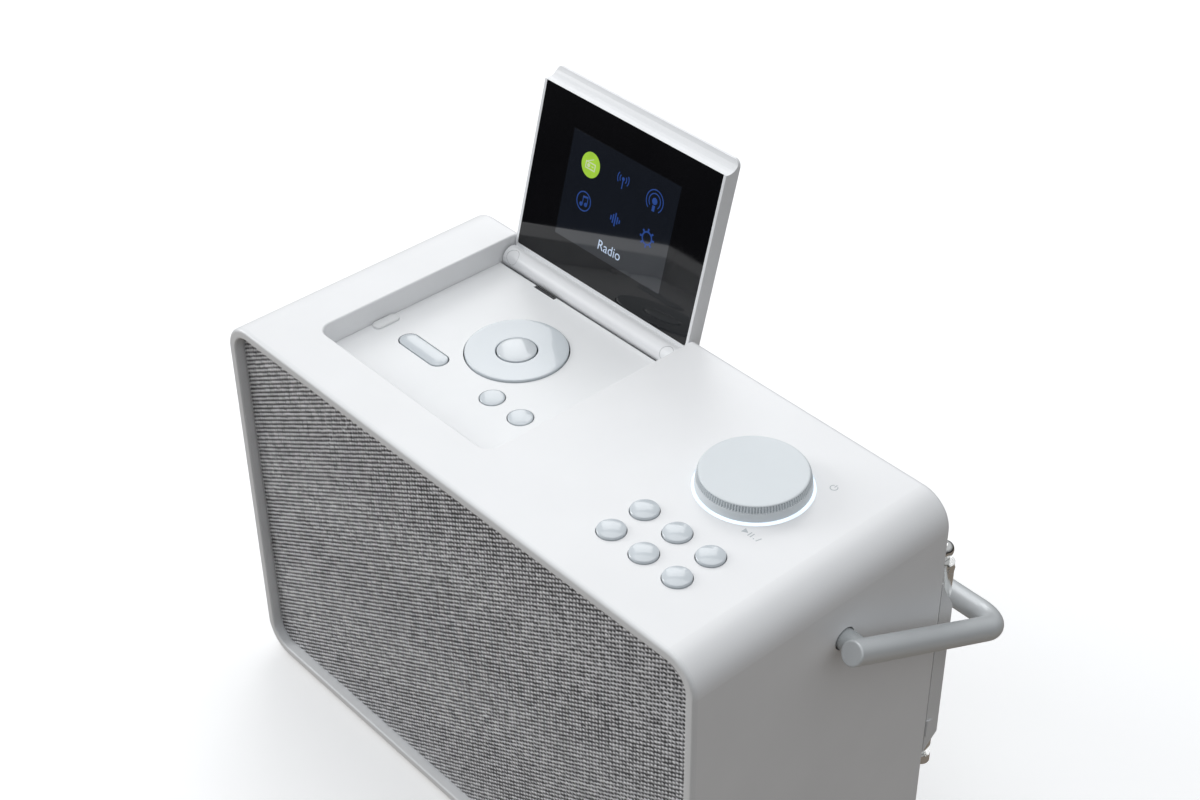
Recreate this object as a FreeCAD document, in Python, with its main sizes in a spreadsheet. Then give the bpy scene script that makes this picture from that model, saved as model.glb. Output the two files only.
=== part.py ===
import FreeCAD, Part
import math
import os
import re
import Sketcher
from FreeCAD import Rotation, Vector

# A tabletop radio: a rounded cabinet with a cloth front, a control recess under
# a flip-up display lid, a volume knob, preset buttons, a swing handle and a
# telescopic antenna on the back.  Millimetres; +X right, +Y back, +Z up.
# The origin is the middle of the whole object's footprint, on the table.

SIZES = {
    # cabinet
    "front_to_origin": 83.73,     # from the front face back to the origin
    "body_width": 283.0,
    "body_depth": 134.0,
    "top_level": 186.5,           # the flat top above the table
    "foot_height": 1.5,
    "foot_radius": 7.0,
    "corner_radius": 14.5,
    "rear_edge_radius": 2.8,
    "soft_edge": 0.8,             # moulded edges in sight
    "shell_wall": 3.0,
    "bezel_depth": 2.0,
    "bezel_rim": 4.5,
    "bezel_spigot": 6.0,
    "cloth_recess": 4.0,          # from the front face back to the cloth
    "cloth_thickness": 1.0,
    "grille_thickness": 3.0,
    "baffle_thickness": 4.0,
    "panel_thickness": 3.0,
    "fit_gap": 0.3,               # all round a fitted panel
    "boss_radius": 5.0,
    "boss_inset": 9.0,
    "boss_length": 30.0,
    "pilot_radius": 1.3,
    "screw_radius": 1.25,
    "screw_head_radius": 2.8,
    "screw_length": 14.0,
    # control recess
    "recess_left": -109.0,
    "recess_right": 2.0,
    "recess_front": 24.0,
    "recess_corner": 6.0,
    "recess_depth": 10.7,
    "recess_wall": 2.0,
    "recess_ledge": 1.8,          # the tray rests on it
    "tray_gap": 0.15,
    "tray_thickness": 2.5,
    "tray_rear": 121.7,
    "trough_depth": 15.3,         # trough floor below the top
    "trough_wall": 1.5,
    # lid, modelled closed about the hinge axis
    "hinge_depth": 127.7,
    "hinge_drop": 9.0,            # hinge axis below the top
    "lid_opening": 104.96,        # degrees from closed to fully open
    "lid_gap": 0.6,
    "lid_length": 88.9,           # hinge axis to the free edge
    "lid_thickness": 7.8,
    "lid_tail": 2.0,
    "lid_skin": 2.0,
    "lid_corner": 3.5,
    "lid_rim": 1.4,
    "lip_thickness": 1.9,
    "glass_start": 6.6,           # hinge axis to the lower edge of the glass
    "glass_end": 82.8,
    "glass_thickness": 1.5,
    "screen_width": 65.5,
    "screen_shift": 0.75,         # to the right of the lid's middle
    "screen_start": 20.2,
    "screen_end": 68.5,
    "screen_thickness": 2.2,
    "roll_radius": 5.0,
    "hinge_pin_radius": 1.5,
    "hinge_bore_radius": 1.55,
    "hinge_pin_length": 12.0,
    "plug_radius": 3.3,
    "plug_depth": 2.3,
    "plug_inset": 5.6,
    "plug_angle": 245.0,
    # controls in the recess
    "nav_x": -52.5,
    "nav_depth": 84.0,
    "nav_radius": 22.0,
    "nav_bore": 8.9,
    "nav_rise": 1.0,
    "nav_thickness": 2.6,
    "nav_button_radius": 8.5,
    "nav_button_rise": 1.5,
    "nav_hole": 22.4,
    "gimbal_radius": 20.0,
    "gimbal_bore": 15.0,
    "gimbal_drop": 2.5,           # top of the gimbal below the recess floor
    "gimbal_thickness": 1.6,
    "key_radius": 5.3,
    "key_gap": 0.3,
    "key_rise": 0.8,
    "key_length": 6.0,
    "key_depth": 55.9,
    "back_key_x": -34.4,
    "menu_key_x": -16.7,
    "rocker_x": -79.5,
    "rocker_length": 28.0,
    "rocker_width": 8.6,
    "bumper_x": -106.1,
    "bumper_depth": 56.5,
    "bumper_length": 13.0,
    "bumper_width": 5.2,
    "bumper_height": 1.4,
    "cable_notch_x": -77.5,
    "cable_notch_length": 13.5,
    "cable_notch_width": 1.6,
    "cable_notch_depth": 3.2,
    "key_board_drop": 9.8,        # below the recess floor
    "board_thickness": 1.6,
    "switch_size": 6.0,
    "switch_height": 2.5,
    "post_radius": 2.0,
    # knob and presets
    "knob_x": 84.9,
    "knob_depth": 85.0,
    "knob_radius": 22.4,
    "knob_top_radius": 21.3,
    "knob_lift": 0.4,
    "knob_height": 6.9,
    "knob_hollow": 4.4,
    "ring_radius": 23.5,
    "ring_bore": 17.0,
    "ring_sunk": 1.6,
    "ring_thickness": 1.1,
    "shaft_radius": 3.0,
    "shaft_length": 19.0,
    "rotor_radius": 5.0,
    "rotor_length": 9.0,
    "running_gap": 0.05,
    "encoder_size": 16.0,
    "encoder_height": 8.0,
    "preset_x": 68.2,
    "preset_depth": 28.3,
    "preset_pitch": 17.45,
    "preset_row_pitch": 16.6,
    "preset_radius": 5.65,
    "preset_gap": 0.3,
    "preset_edge": 0.7,
    "preset_dome": 1.1,
    "preset_length": 6.0,
    "preset_board_drop": 11.2,
    # handle
    "pivot_depth": 77.0,
    "pivot_drop": 33.7,           # below the top
    "arm_x": 150.8,
    "arm_length": 95.0,           # pivot to the middle of the grip
    "arm_stub": 7.6,              # arm end beyond the pivot
    "tube_radius": 5.0,
    "bend_radius": 12.0,
    "handle_droop": 25.9,         # degrees below level, as stored
    "pivot_pin_radius": 4.4,
    "pivot_hole_radius": 5.0,
    "pivot_bush_radius": 8.0,
    "pivot_bush_length": 6.0,
    "pivot_bush_bore": 4.45,
    "pin_head_thickness": 1.5,
    # antenna
    "antenna_x": 132.5,
    "antenna_depth": 143.7,
    "swivel_drop": 35.5,          # swivel axis below the top
    "tilt_drop": 43.5,            # tilt pin below the top
    "base_flange_radius": 5.2,
    "base_stem_radius": 3.0,
    "ball_radius": 3.5,
    "tongue_thickness": 1.8,
    "tongue_width": 5.0,
    "ear_gap": 0.1,
    "fork_radius": 4.4,
    "fork_length": 7.0,
    "tilt_pin_radius": 1.1,
    "tilt_pin_head": 2.0,
    "ferrule_radius": 4.3,
    "ferrule_length": 8.0,
    "mast_radius": 3.6,
    "mast_wall": 0.45,
    "mast_length": 92.0,
    "mast_step": 1.2,             # each section stands out past the last one
    "tip_radius": 3.9,
    "tip_length": 4.4,
    # antenna guard on the back panel
    "guard_inner_x": 124.0,
    "guard_outer_x": 140.0,
    "guard_wall": 2.4,
    "guard_base": 1.7,
    "guard_root_depth": 134.7,
    "guard_edge_depth": 142.5,
    "guard_root_low": 136.0,      # each of these four is below the top
    "guard_edge_low": 129.0,
    "guard_edge_high": 59.0,
    "guard_root_high": 43.5,
    "guard_boss_radius": 4.4,
    "guard_boss_drop": 122.5,
    # battery and back panel
    "battery_width": 104.0,
    "battery_height": 52.0,
    "battery_thickness": 24.0,
    "battery_low": 62.0,
    "cover_margin": 6.0,
    "cover_thickness": 2.0,
    "socket_level": 24.0,
    "aux_x": -96.0,
    "phones_x": -112.0,
    "usb_x": -72.0,
    "jack_radius": 3.9,
    "jack_bore": 1.8,
    "jack_length": 14.0,
    "usb_width": 9.4,
    "usb_height": 3.6,
    "usb_length": 8.0,
    # inside
    "woofer_x": -56.0,
    "woofer_level": 88.0,
    "woofer_radius": 45.0,
    "woofer_cone": 38.0,
    "woofer_throat": 14.0,
    "woofer_height": 20.0,
    "magnet_radius": 30.0,
    "magnet_height": 16.0,
    "tweeter_x": 66.0,
    "tweeter_level": 110.0,
    "tweeter_radius": 22.0,
    "tweeter_height": 22.0,
    "port_x": 76.0,
    "port_level": 52.0,
    "port_radius": 19.0,
    "port_bore": 16.5,
    "port_length": 62.0,
    "main_board_width": 120.0,
    "main_board_height": 60.0,
}

doc = FreeCAD.newDocument("tabletop_radio")
sheet = doc.addObject("Spreadsheet::Sheet", "dims")
for row, (name, value) in enumerate(SIZES.items(), 1):
    sheet.set(f"A{row}", str(value))
    sheet.setAlias(f"A{row}", name)
doc.recompute()

subparts = []
AXIS_TURN = {
    "x": Rotation(Vector(0, 1, 0), 90),
    "y": Rotation(Vector(1, 0, 0), -90),
    "z": Rotation(),
}


def expr(text):
    # A size's name becomes a reference to its cell.
    return re.sub(r"[a-z_]+", lambda m: f"dims.{m.group()}" if m.group() in SIZES else m.group(), str(text))


def bind(piece, **properties):
    for name, text in properties.items():
        piece.setExpression(name, expr(text))


def place(piece, x, y, z):
    # y is measured back from the front face.
    piece.setExpression("Placement.Base.x", expr(x))
    piece.setExpression("Placement.Base.y", expr(f"({y}) - front_to_origin"))
    piece.setExpression("Placement.Base.z", expr(z))
    return piece


def subpart(piece, label):
    piece.Label = label
    subparts.append(piece)
    return piece


def box(name, size, at):
    piece = doc.addObject("Part::Box", name)
    bind(piece, Length=size[0], Width=size[1], Height=size[2])
    return place(piece, *at)


def centred_box(name, size, at):
    # at is the middle of the box's lowest face.
    x, y, z = at
    return box(name, size, (f"({x}) - ({size[0]})/2", f"({y}) - ({size[1]})/2", z))


def cylinder(name, radius, length, at, axis="z"):
    piece = doc.addObject("Part::Cylinder", name)
    bind(piece, Radius=radius, Height=length)
    piece.Placement.Rotation = AXIS_TURN[axis]
    return place(piece, *at)


def cone(name, radius_low, radius_high, length, at, axis="z"):
    piece = doc.addObject("Part::Cone", name)
    bind(piece, Radius1=radius_low, Radius2=radius_high, Height=length)
    piece.Placement.Rotation = AXIS_TURN[axis]
    return place(piece, *at)


def sphere(name, radius, at):
    piece = doc.addObject("Part::Sphere", name)
    bind(piece, Radius=radius)
    return place(piece, *at)


def fuse(name, *pieces):
    result = doc.addObject("Part::MultiFuse", name)
    result.Shapes = list(pieces)
    result.Refine = True
    return result


def group(name, *pieces):
    # Separate solids that share one node.
    result = doc.addObject("Part::Compound", name)
    result.Links = list(pieces)
    return result


def cut(name, base, *tools):
    result = doc.addObject("Part::Cut", name)
    result.Base = base
    result.Tool = tools[0] if len(tools) == 1 else fuse(name + "_tools", *tools)
    result.Refine = True
    return result


def common(name, first, second):
    result = doc.addObject("Part::Common", name)
    result.Base = first
    result.Tool = second
    return result


def tube(name, outer, inner, length, at, axis="z"):
    x, y, z = at
    longer = {"x": (f"({x}) - 1", y, z), "y": (x, f"({y}) - 1", z), "z": (x, y, f"({z}) - 1")}[axis]
    body = cylinder(name + "_outer", outer, length, at, axis)
    bore = cylinder(name + "_bore", inner, f"({length}) + 2", longer, axis)
    return cut(name, body, bore)


def sketch_on(body, role, name, at):
    # at is the sketch's own origin: two offsets in its plane, then one along its normal.
    plane = next(feature for feature in body.Origin.OriginFeatures if feature.Role == role)
    sketch = body.newObject("Sketcher::SketchObject", name)
    sketch.AttachmentSupport = (plane, [""])
    sketch.MapMode = "FlatFace"
    for axis, text in zip("xyz", at):
        sketch.setExpression(f"AttachmentOffset.Base.{axis}", expr(text))
    return sketch


def limit(sketch, kind, *where, to):
    number = sketch.addConstraint(Sketcher.Constraint(kind, *where, value(to)))
    sketch.setExpression(f"Constraints[{number}]", expr(to))


def value(text):
    return float(sheet.evalExpression(expr(text)))


def rounded_outline(sketch, width, height, radius):
    # A rectangle about the sketch's origin with four equal corner arcs.
    bend = value(radius)
    half_x, half_y = value(width) / 2 - bend, value(height) / 2 - bend
    centres = [Vector(sx * half_x, sy * half_y, 0) for sx, sy in ((-1, -1), (1, -1), (1, 1), (-1, 1))]
    outward = [Vector(0, -1, 0), Vector(1, 0, 0), Vector(0, 1, 0), Vector(-1, 0, 0)]
    for start, end, out in zip(centres, centres[1:] + centres[:1], outward):
        sketch.addGeometry(Part.LineSegment(start + out * bend, end + out * bend))
    for i, centre in enumerate(centres):
        start = math.pi + i * math.pi / 2
        circle = Part.Circle(centre, Vector(0, 0, 1), bend)
        sketch.addGeometry(Part.ArcOfCircle(circle, start, start + math.pi / 2))
    for i in range(4):
        sketch.addConstraint(Sketcher.Constraint("Tangent", 4 + i, 2, i, 1))
        sketch.addConstraint(Sketcher.Constraint("Tangent", i, 2, 4 + (i + 1) % 4, 1))
        sketch.addConstraint(Sketcher.Constraint(("Horizontal", "Vertical")[i % 2], i))
    for i in range(5, 8):
        sketch.addConstraint(Sketcher.Constraint("Equal", 4, i))
    limit(sketch, "Radius", 4, to=radius)
    limit(sketch, "DistanceX", -1, 1, 1, 1, to=f"({width})/2")
    limit(sketch, "DistanceX", 3, 1, -1, 1, to=f"({width})/2")
    limit(sketch, "DistanceY", -1, 1, 2, 1, to=f"({height})/2")
    limit(sketch, "DistanceY", 0, 1, -1, 1, to=f"({height})/2")


def outline(sketch, points):
    # Straight lines round the points, each a pair of sizes.
    corners = [Vector(value(x), value(y), 0) for x, y in points]
    for start, end in zip(corners, corners[1:] + corners[:1]):
        sketch.addGeometry(Part.LineSegment(start, end))
    for i in range(len(corners)):
        sketch.addConstraint(Sketcher.Constraint("Coincident", i, 2, (i + 1) % len(corners), 1))
    for i, (x, y) in enumerate(points):
        limit(sketch, "DistanceX", -1, 1, i, 1, to=x)
        limit(sketch, "DistanceY", -1, 1, i, 1, to=y)


def pad(body, sketch, length, backwards=False):
    feature = body.newObject("PartDesign::Pad", sketch.Name + "_pad")
    feature.Profile = sketch
    feature.Reversed = backwards
    bind(feature, Length=length)
    return feature


def upright_slab(name, centre, size, radius, front, thickness):
    # A rounded plate facing the front: centre and size are across and up.
    body = doc.addObject("PartDesign::Body", name)
    at = (centre[0], centre[1], f"front_to_origin - ({front})")
    sketch = sketch_on(body, "XZ_Plane", name + "_outline", at)
    rounded_outline(sketch, size[0], size[1], radius)
    pad(body, sketch, thickness, backwards=True)
    return body


def flat_slab(name, centre, size, radius, low, thickness):
    # A rounded plate lying level: centre and size are across and back.
    body = doc.addObject("PartDesign::Body", name)
    at = (centre[0], f"({centre[1]}) - front_to_origin", low)
    sketch = sketch_on(body, "XY_Plane", name + "_outline", at)
    rounded_outline(sketch, size[0], size[1], radius)
    pad(body, sketch, thickness)
    return body


def side_profile(name, points, start, length, from_front=True):
    # An outline seen from the side, (back, up), drawn out along X.
    body = doc.addObject("PartDesign::Body", name)
    at = ("-front_to_origin" if from_front else "0", "0", start)
    sketch = sketch_on(body, "YZ_Plane", name + "_outline", at)
    outline(sketch, points)
    pad(body, sketch, length)
    return body


def rounded_edges(name, base, radius, chosen):
    # chosen says of each edge whether it is rounded.
    doc.recompute()
    size = sheet.get(radius) if isinstance(radius, str) else radius
    result = doc.addObject("Part::Fillet", name)
    result.Base = base
    edges = base.Shape.Edges
    result.Edges = [(i, size, size) for i, edge in enumerate(edges, 1) if chosen(edge)]
    return result


cabinet_height = "(top_level - foot_height)"
cabinet_middle = "(top_level + foot_height)/2"
floor_level = "(top_level - recess_depth)"
shell_inner_width = "(body_width - 2*shell_wall)"
shell_inner_height = f"({cabinet_height} - 2*shell_wall)"
shell_inner_radius = "(corner_radius - shell_wall)"
panel_front = "(body_depth - panel_thickness - fit_gap)"
panel_rear = "(body_depth - fit_gap)"
recess_width = "(recess_right - recess_left)"
recess_middle = "(recess_right + recess_left)/2"


# ---- cabinet ----

def lies_on_rear(edge):
    rear = SIZES["body_depth"] - SIZES["front_to_origin"]
    return all(abs(vertex.Y - rear) < 0.01 for vertex in edge.Vertexes)


def lies_on_recess_rim(edge):
    # The recess's edge on the top face, then down over the back edge on each side.
    rear = SIZES["body_depth"] - SIZES["front_to_origin"]
    front = SIZES["recess_front"] - SIZES["front_to_origin"]
    sides = (SIZES["recess_left"], SIZES["recess_right"])
    points = [vertex.Point for vertex in edge.Vertexes]
    within = all(sides[0] - 0.01 < p.x < sides[1] + 0.01 and p.y > front - 0.01 for p in points)
    on_top = all(abs(p.z - SIZES["top_level"]) < 0.01 for p in points)
    over_back = all(min(abs(p.x - side) for side in sides) < 0.01 for p in points) and any(
        abs(p.y - rear) < 0.01 for p in points) and all(
        p.y > rear - SIZES["rear_edge_radius"] - 0.01 for p in points)
    level = abs(points[0].x - points[-1].x) < 0.01
    return within and (on_top or (over_back and level))


def recess_prism(name, low, height):
    # The recess in plan, running out through the back of the cabinet.
    length = "(body_depth - recess_front + recess_corner*2)"
    return flat_slab(name, (recess_middle, f"recess_front + {length}/2"), (recess_width, length),
                     "recess_corner", low, height)


def boss_places():
    for side in (-1, 1):
        for level in ("foot_height + boss_inset", "top_level - boss_inset"):
            yield f"{side}*(body_width/2 - boss_inset)", level


def make_shell():
    block = upright_slab("shell_block", ("0", cabinet_middle), ("body_width", cabinet_height),
                         "corner_radius", "bezel_depth", "body_depth - bezel_depth")
    rounded = rounded_edges("shell_rounded", block, "rear_edge_radius", lies_on_rear)
    inside = upright_slab("shell_inside", ("0", cabinet_middle), (shell_inner_width, shell_inner_height),
                          shell_inner_radius, "-1", "body_depth + 2")
    tube_shell = cut("shell_tube", rounded, inside)
    wall_low = "(top_level - trough_depth - trough_wall)"
    walls = box("recess_walls", (f"{recess_width} + 2*recess_wall",
                                 "body_depth - recess_front + recess_wall",
                                 f"top_level - rear_edge_radius - {wall_low}"),
                ("recess_left - recess_wall", "recess_front - recess_wall", wall_low))
    bosses = []
    pilots = []
    for i, (x, z) in enumerate(boss_places()):
        start = f"{panel_front} - boss_length"
        bosses.append(cylinder(f"boss_{i}", "boss_radius", "boss_length", (x, start, z), "y"))
        pilots.append(cylinder(f"pilot_{i}", "pilot_radius", "boss_length", (x, start + " + 2", z), "y"))
    post_low = "(top_level - preset_board_drop + board_thickness)"
    for i in range(4):
        at = (f"preset_x + ({i} - 0.5)*preset_pitch", "preset_depth + preset_row_pitch/2", post_low)
        bosses.append(cylinder(f"preset_post_{i}", "post_radius",
                               f"top_level - shell_wall + 0.5 - {post_low}", at))
    solid = fuse("shell_solid", tube_shell, walls, *bosses)
    ledge_top = f"({floor_level} - tray_thickness)"
    openings = [recess_prism("recess_opening", ledge_top, "60"),
                centred_box("ledge_opening",
                            (f"{recess_width} - 2*recess_ledge", "tray_rear - recess_front", "60"),
                            (recess_middle, "(tray_rear + recess_front)/2 + recess_ledge",
                             f"{ledge_top} - 59")),
                box("trough_opening", (recess_width, "40", "60"),
                    ("recess_left", "tray_rear - trough_wall - 0.5", f"{ledge_top} - 59"))]
    openings += pilots
    for i, (x, y) in enumerate(preset_places()):
        at = (x, y, "top_level - 5")
        openings.append(cylinder(f"preset_hole_{i}", "preset_radius + preset_gap", "10", at))
    openings.append(cylinder("rotor_hole", "rotor_radius + 0.6", "20",
                             ("knob_x", "knob_depth", "top_level - 10")))
    openings.append(cylinder("ring_seat", "ring_radius + 0.05", "5",
                             ("knob_x", "knob_depth", "top_level - ring_sunk")))
    pivot_level = "top_level - pivot_drop"
    openings.append(cylinder("pivot_holes", "pivot_hole_radius", "body_width + 10",
                             ("-body_width/2 - 5", "pivot_depth", pivot_level), "x"))
    openings.append(cylinder("hinge_pin_holes", "hinge_pin_radius", f"{recess_width} + 2*recess_wall - 0.4",
                             ("recess_left - recess_wall + 0.2", "hinge_depth", "top_level - hinge_drop"),
                             "x"))
    shell = cut("shell_cut", solid, *openings)
    return subpart(rounded_edges("shell", shell, "soft_edge", lies_on_recess_rim), "cabinet_shell")


def lies_round_cloth(edge):
    half_width = SIZES["body_width"] / 2 - SIZES["bezel_rim"] + 0.01
    top = SIZES["top_level"] - SIZES["bezel_rim"] + 0.01
    low = SIZES["foot_height"] + SIZES["bezel_rim"] - 0.01
    return all(abs(v.Y + SIZES["front_to_origin"]) < 0.01 and abs(v.X) < half_width and low < v.Z < top
               for v in edge.Vertexes)


def make_front():
    rim = upright_slab("bezel_rim_block", ("0", cabinet_middle), ("body_width", cabinet_height),
                       "corner_radius", "0", "bezel_depth")
    front = -SIZES["front_to_origin"]
    soft = rounded_edges("bezel_soft", rim, 1.4,
                         lambda edge: all(abs(v.Y - front) < 0.01 for v in edge.Vertexes))
    spigot = upright_slab("bezel_spigot_block", ("0", cabinet_middle),
                          (f"{shell_inner_width} - fit_gap", f"{shell_inner_height} - fit_gap"),
                          f"{shell_inner_radius} - fit_gap/2", "bezel_depth", "bezel_spigot")
    opening_size = ("body_width - 2*bezel_rim", f"{cabinet_height} - 2*bezel_rim")
    opening = upright_slab("bezel_opening", ("0", cabinet_middle), opening_size,
                           "corner_radius - bezel_rim", "-1", "20")
    ring = cut("bezel_ring", fuse("bezel_solid", soft, spigot), opening)
    subpart(rounded_edges("bezel", ring, "soft_edge", lies_round_cloth), "front_bezel")
    inset = [f"{size} - 2*fit_gap" for size in opening_size]
    subpart(upright_slab("cloth", ("0", cabinet_middle), inset, "corner_radius - bezel_rim - fit_gap",
                         "cloth_recess", "cloth_thickness"), "grille_fabric")
    board = upright_slab("board", ("0", cabinet_middle), inset, "corner_radius - bezel_rim - fit_gap",
                         "cloth_recess + cloth_thickness", "grille_thickness")
    windows = [cylinder(f"grille_window_{name}", radius, "20", (x, "0", z), "y")
               for name, radius, x, z in sound_openings()]
    subpart(cut("grille", board, *windows), "grille_board")
    baffle_front = "(bezel_depth + bezel_spigot)"
    baffle = upright_slab("baffle_block", ("0", cabinet_middle),
                          (f"{shell_inner_width} - fit_gap", f"{shell_inner_height} - fit_gap"),
                          f"{shell_inner_radius} - fit_gap/2", baffle_front, "baffle_thickness")
    holes = [cylinder(f"baffle_hole_{name}", radius, "20", (x, "0", z), "y")
             for name, radius, x, z in sound_openings()]
    subpart(cut("baffle_cut", baffle, *holes), "speaker_baffle")


def sound_openings():
    return [("woofer", "woofer_cone", "woofer_x", "woofer_level"),
            ("tweeter", "tweeter_radius - 4", "tweeter_x", "tweeter_level"),
            ("port", "port_bore", "port_x", "port_level")]


def make_feet():
    feet = []
    for x in ("-body_width/2 + 26", "body_width/2 - 26"):
        for y in ("22", "body_depth - 20"):
            feet.append(cylinder(f"foot_{len(feet)}", "foot_radius", "foot_height", (x, y, "0")))
    subpart(group("foot_set", *feet), "rubber_feet")


def make_back():
    plate = upright_slab("panel_plate", ("0", cabinet_middle),
                         (f"{shell_inner_width} - 2*fit_gap", f"{shell_inner_height} - 2*fit_gap"),
                         f"{shell_inner_radius} - fit_gap", panel_front, "panel_thickness")
    notch_low = "(top_level - trough_depth - trough_wall - fit_gap)"
    notch = box("panel_notch", (f"{recess_width} + 2*recess_wall + 2*fit_gap", "40", "60"),
                ("recess_left - recess_wall - fit_gap", "body_depth - 20", notch_low))
    through = "body_depth - 20"
    cuts = [notch]
    cuts.append(cylinder("antenna_hole", "base_stem_radius + 0.05", "40",
                         ("antenna_x", through, "top_level - swivel_drop"), "y"))
    case_front = f"({panel_front} - battery_thickness - 1)"
    case = box("battery_case", ("battery_width + 4", "battery_thickness + 4", "battery_height + 4"),
               ("-battery_width/2 - 2", f"{case_front} - 2", "battery_low - 2"))
    cuts.append(box("battery_window", ("battery_width", "60", "battery_height"),
                    ("-battery_width/2", case_front, "battery_low")))
    posts = [cylinder(f"board_post_{i}", "post_radius", "2.7",
                      (f"{x}*(battery_width/2 - 4)", f"{case_front} - 4.2",
                       f"battery_low + battery_height/2 + {z}*20"), "y")
             for i, (x, z) in enumerate(((-1, -1), (1, -1), (-1, 1), (1, 1)))]
    cover_size = ("battery_width + 2*cover_margin", "battery_height + 2*cover_margin")
    cover_middle = ("0", "battery_low + battery_height/2")
    seat_front = f"{panel_rear} - cover_thickness"
    cuts.append(upright_slab("cover_seat", cover_middle, cover_size, "4", seat_front, "10"))
    for name in ("aux", "phones"):
        cuts.append(cylinder(f"{name}_hole", "jack_radius", "40", (f"{name}_x", through, "socket_level"),
                             "y"))
    cuts.append(upright_slab("usb_hole", ("usb_x", "socket_level"), ("usb_width", "usb_height"),
                             "usb_height/2 - 0.1", through, "40"))
    screw_holes = []
    screws = []
    for i, (x, z) in enumerate(boss_places()):
        screw_holes.append(cylinder(f"screw_hole_{i}", "screw_radius + 0.3", "40", (x, through, z), "y"))
        screw_holes.append(cylinder(f"screw_seat_{i}", "screw_head_radius + 0.2", "10",
                                    (x, f"{panel_rear} - 1.8", z), "y"))
        screws.append(make_screw(f"case_screw_{i}", x, f"{panel_rear} - 1.8", z, "screw_length"))
    cover_screws = [f"{side}*(battery_width/2 + cover_margin/2 - 0.5)" for side in (-1, 1)]
    for i, x in enumerate(cover_screws):
        screw_holes.append(cylinder(f"cover_pilot_{i}", "screw_radius", "40",
                                    (x, through, cover_middle[1]), "y"))
    cuts += screw_holes
    subpart(cut("panel", fuse("panel_solid", plate, case, *posts), *cuts), "back_panel")
    cover = upright_slab("cover_plate", cover_middle, [f"{size} - 2*fit_gap" for size in cover_size], "3.7",
                         seat_front, "cover_thickness")
    cover_holes = [cylinder(f"cover_hole_{i}", "screw_radius + 0.05", "20", (x, through, cover_middle[1]),
                            "y")
                   for i, x in enumerate(cover_screws)]
    subpart(cut("cover", cover, *cover_holes), "battery_cover")
    for i, x in enumerate(cover_screws):
        screws.append(make_screw(f"cover_screw_{i}", x, panel_rear, cover_middle[1], "4.5"))
    subpart(group("screw_set", *screws), "case_screws")


def make_screw(name, x, seat, z, length):
    # A pan-head screw whose head stands on the seat plane and points back.
    shank = cylinder(name + "_shank", "screw_radius", length, (x, f"({seat}) - ({length})", z), "y")
    head = cylinder(name + "_head", "screw_head_radius", "1.5", (x, seat, z), "y")
    slot = centred_box(name + "_slot", ("3.6", "2", "0.8"), (x, f"({seat}) + 1.9", f"({z}) - 0.4"))
    slot_across = centred_box(name + "_slot_across", ("0.8", "2", "3.6"),
                              (x, f"({seat}) + 1.9", f"({z}) - 1.8"))
    return cut(name, fuse(name + "_solid", shank, head), slot, slot_across)


# ---- control recess ----

def make_tray():
    side_gap = "tray_gap"
    plate_length = "(tray_rear - recess_front - tray_gap)"
    plate = flat_slab("tray_plate", (recess_middle,
                                     f"recess_front + tray_gap + {plate_length}/2 + recess_corner"),
                      (f"{recess_width} - 2*{side_gap}", f"{plate_length} + 2*recess_corner"),
                      "recess_corner - tray_gap", f"{floor_level} - tray_thickness", "tray_thickness")
    rear_cut = box("tray_rear_cut", (f"{recess_width} + 20", "60", "60"),
                   ("recess_left - 10", "tray_rear", f"{floor_level} - 30"))
    trough_top = "(top_level - trough_depth)"
    trough_low = f"({trough_top} - trough_wall)"
    width = f"{recess_width} - 2*{side_gap}"
    trough_floor = box("trough_floor", (width, "body_depth - 0.6 - tray_rear + trough_wall", "trough_wall"),
                       (f"recess_left + {side_gap}", "tray_rear - trough_wall", trough_low))
    trough_front = box("trough_front", (width, "trough_wall", f"{floor_level} - {trough_low} - 0.5"),
                       (f"recess_left + {side_gap}", "tray_rear - trough_wall", trough_low))
    post_low = f"({floor_level} - key_board_drop)"
    posts = [cylinder(f"tray_post_{i}", "post_radius", f"{floor_level} - tray_thickness + 0.5 - {post_low}",
                      (f"{recess_middle} + {x}*44", f"70 + {y}*34", post_low))
             for i, (x, y) in enumerate(((-1, -1), (1, -1), (-1, 1), (1, 1)))]
    solid = fuse("tray_solid", cut("tray_floor", plate, rear_cut), trough_floor, trough_front, *posts)
    below = f"{floor_level} - tray_thickness - 1"
    holes = [cylinder("nav_opening", "nav_hole", "10", ("nav_x", "nav_depth", below))]
    for name in ("back_key", "menu_key"):
        holes.append(cylinder(f"{name}_hole", "key_radius + key_gap", "10",
                              (f"{name}_x", "key_depth", below)))
    holes.append(flat_slab("rocker_hole", ("rocker_x", "key_depth"),
                           ("rocker_length + 0.8", "rocker_width + 0.8"), "rocker_width/2 + 0.3", below,
                           "10"))
    # the display's cable comes up through a notch at the rear edge
    holes.append(centred_box("cable_notch", ("cable_notch_length", "2*cable_notch_width", "10"),
                             ("cable_notch_x", "tray_rear", f"{floor_level} - cable_notch_depth")))
    subpart(cut("tray", solid, *holes), "control_tray")
    subpart(flat_slab("bumper", ("bumper_x", "bumper_depth"), ("bumper_width", "bumper_length"),
                      "bumper_width/2 - 0.1", floor_level, "bumper_height"), "lid_rest_bumper")


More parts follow.
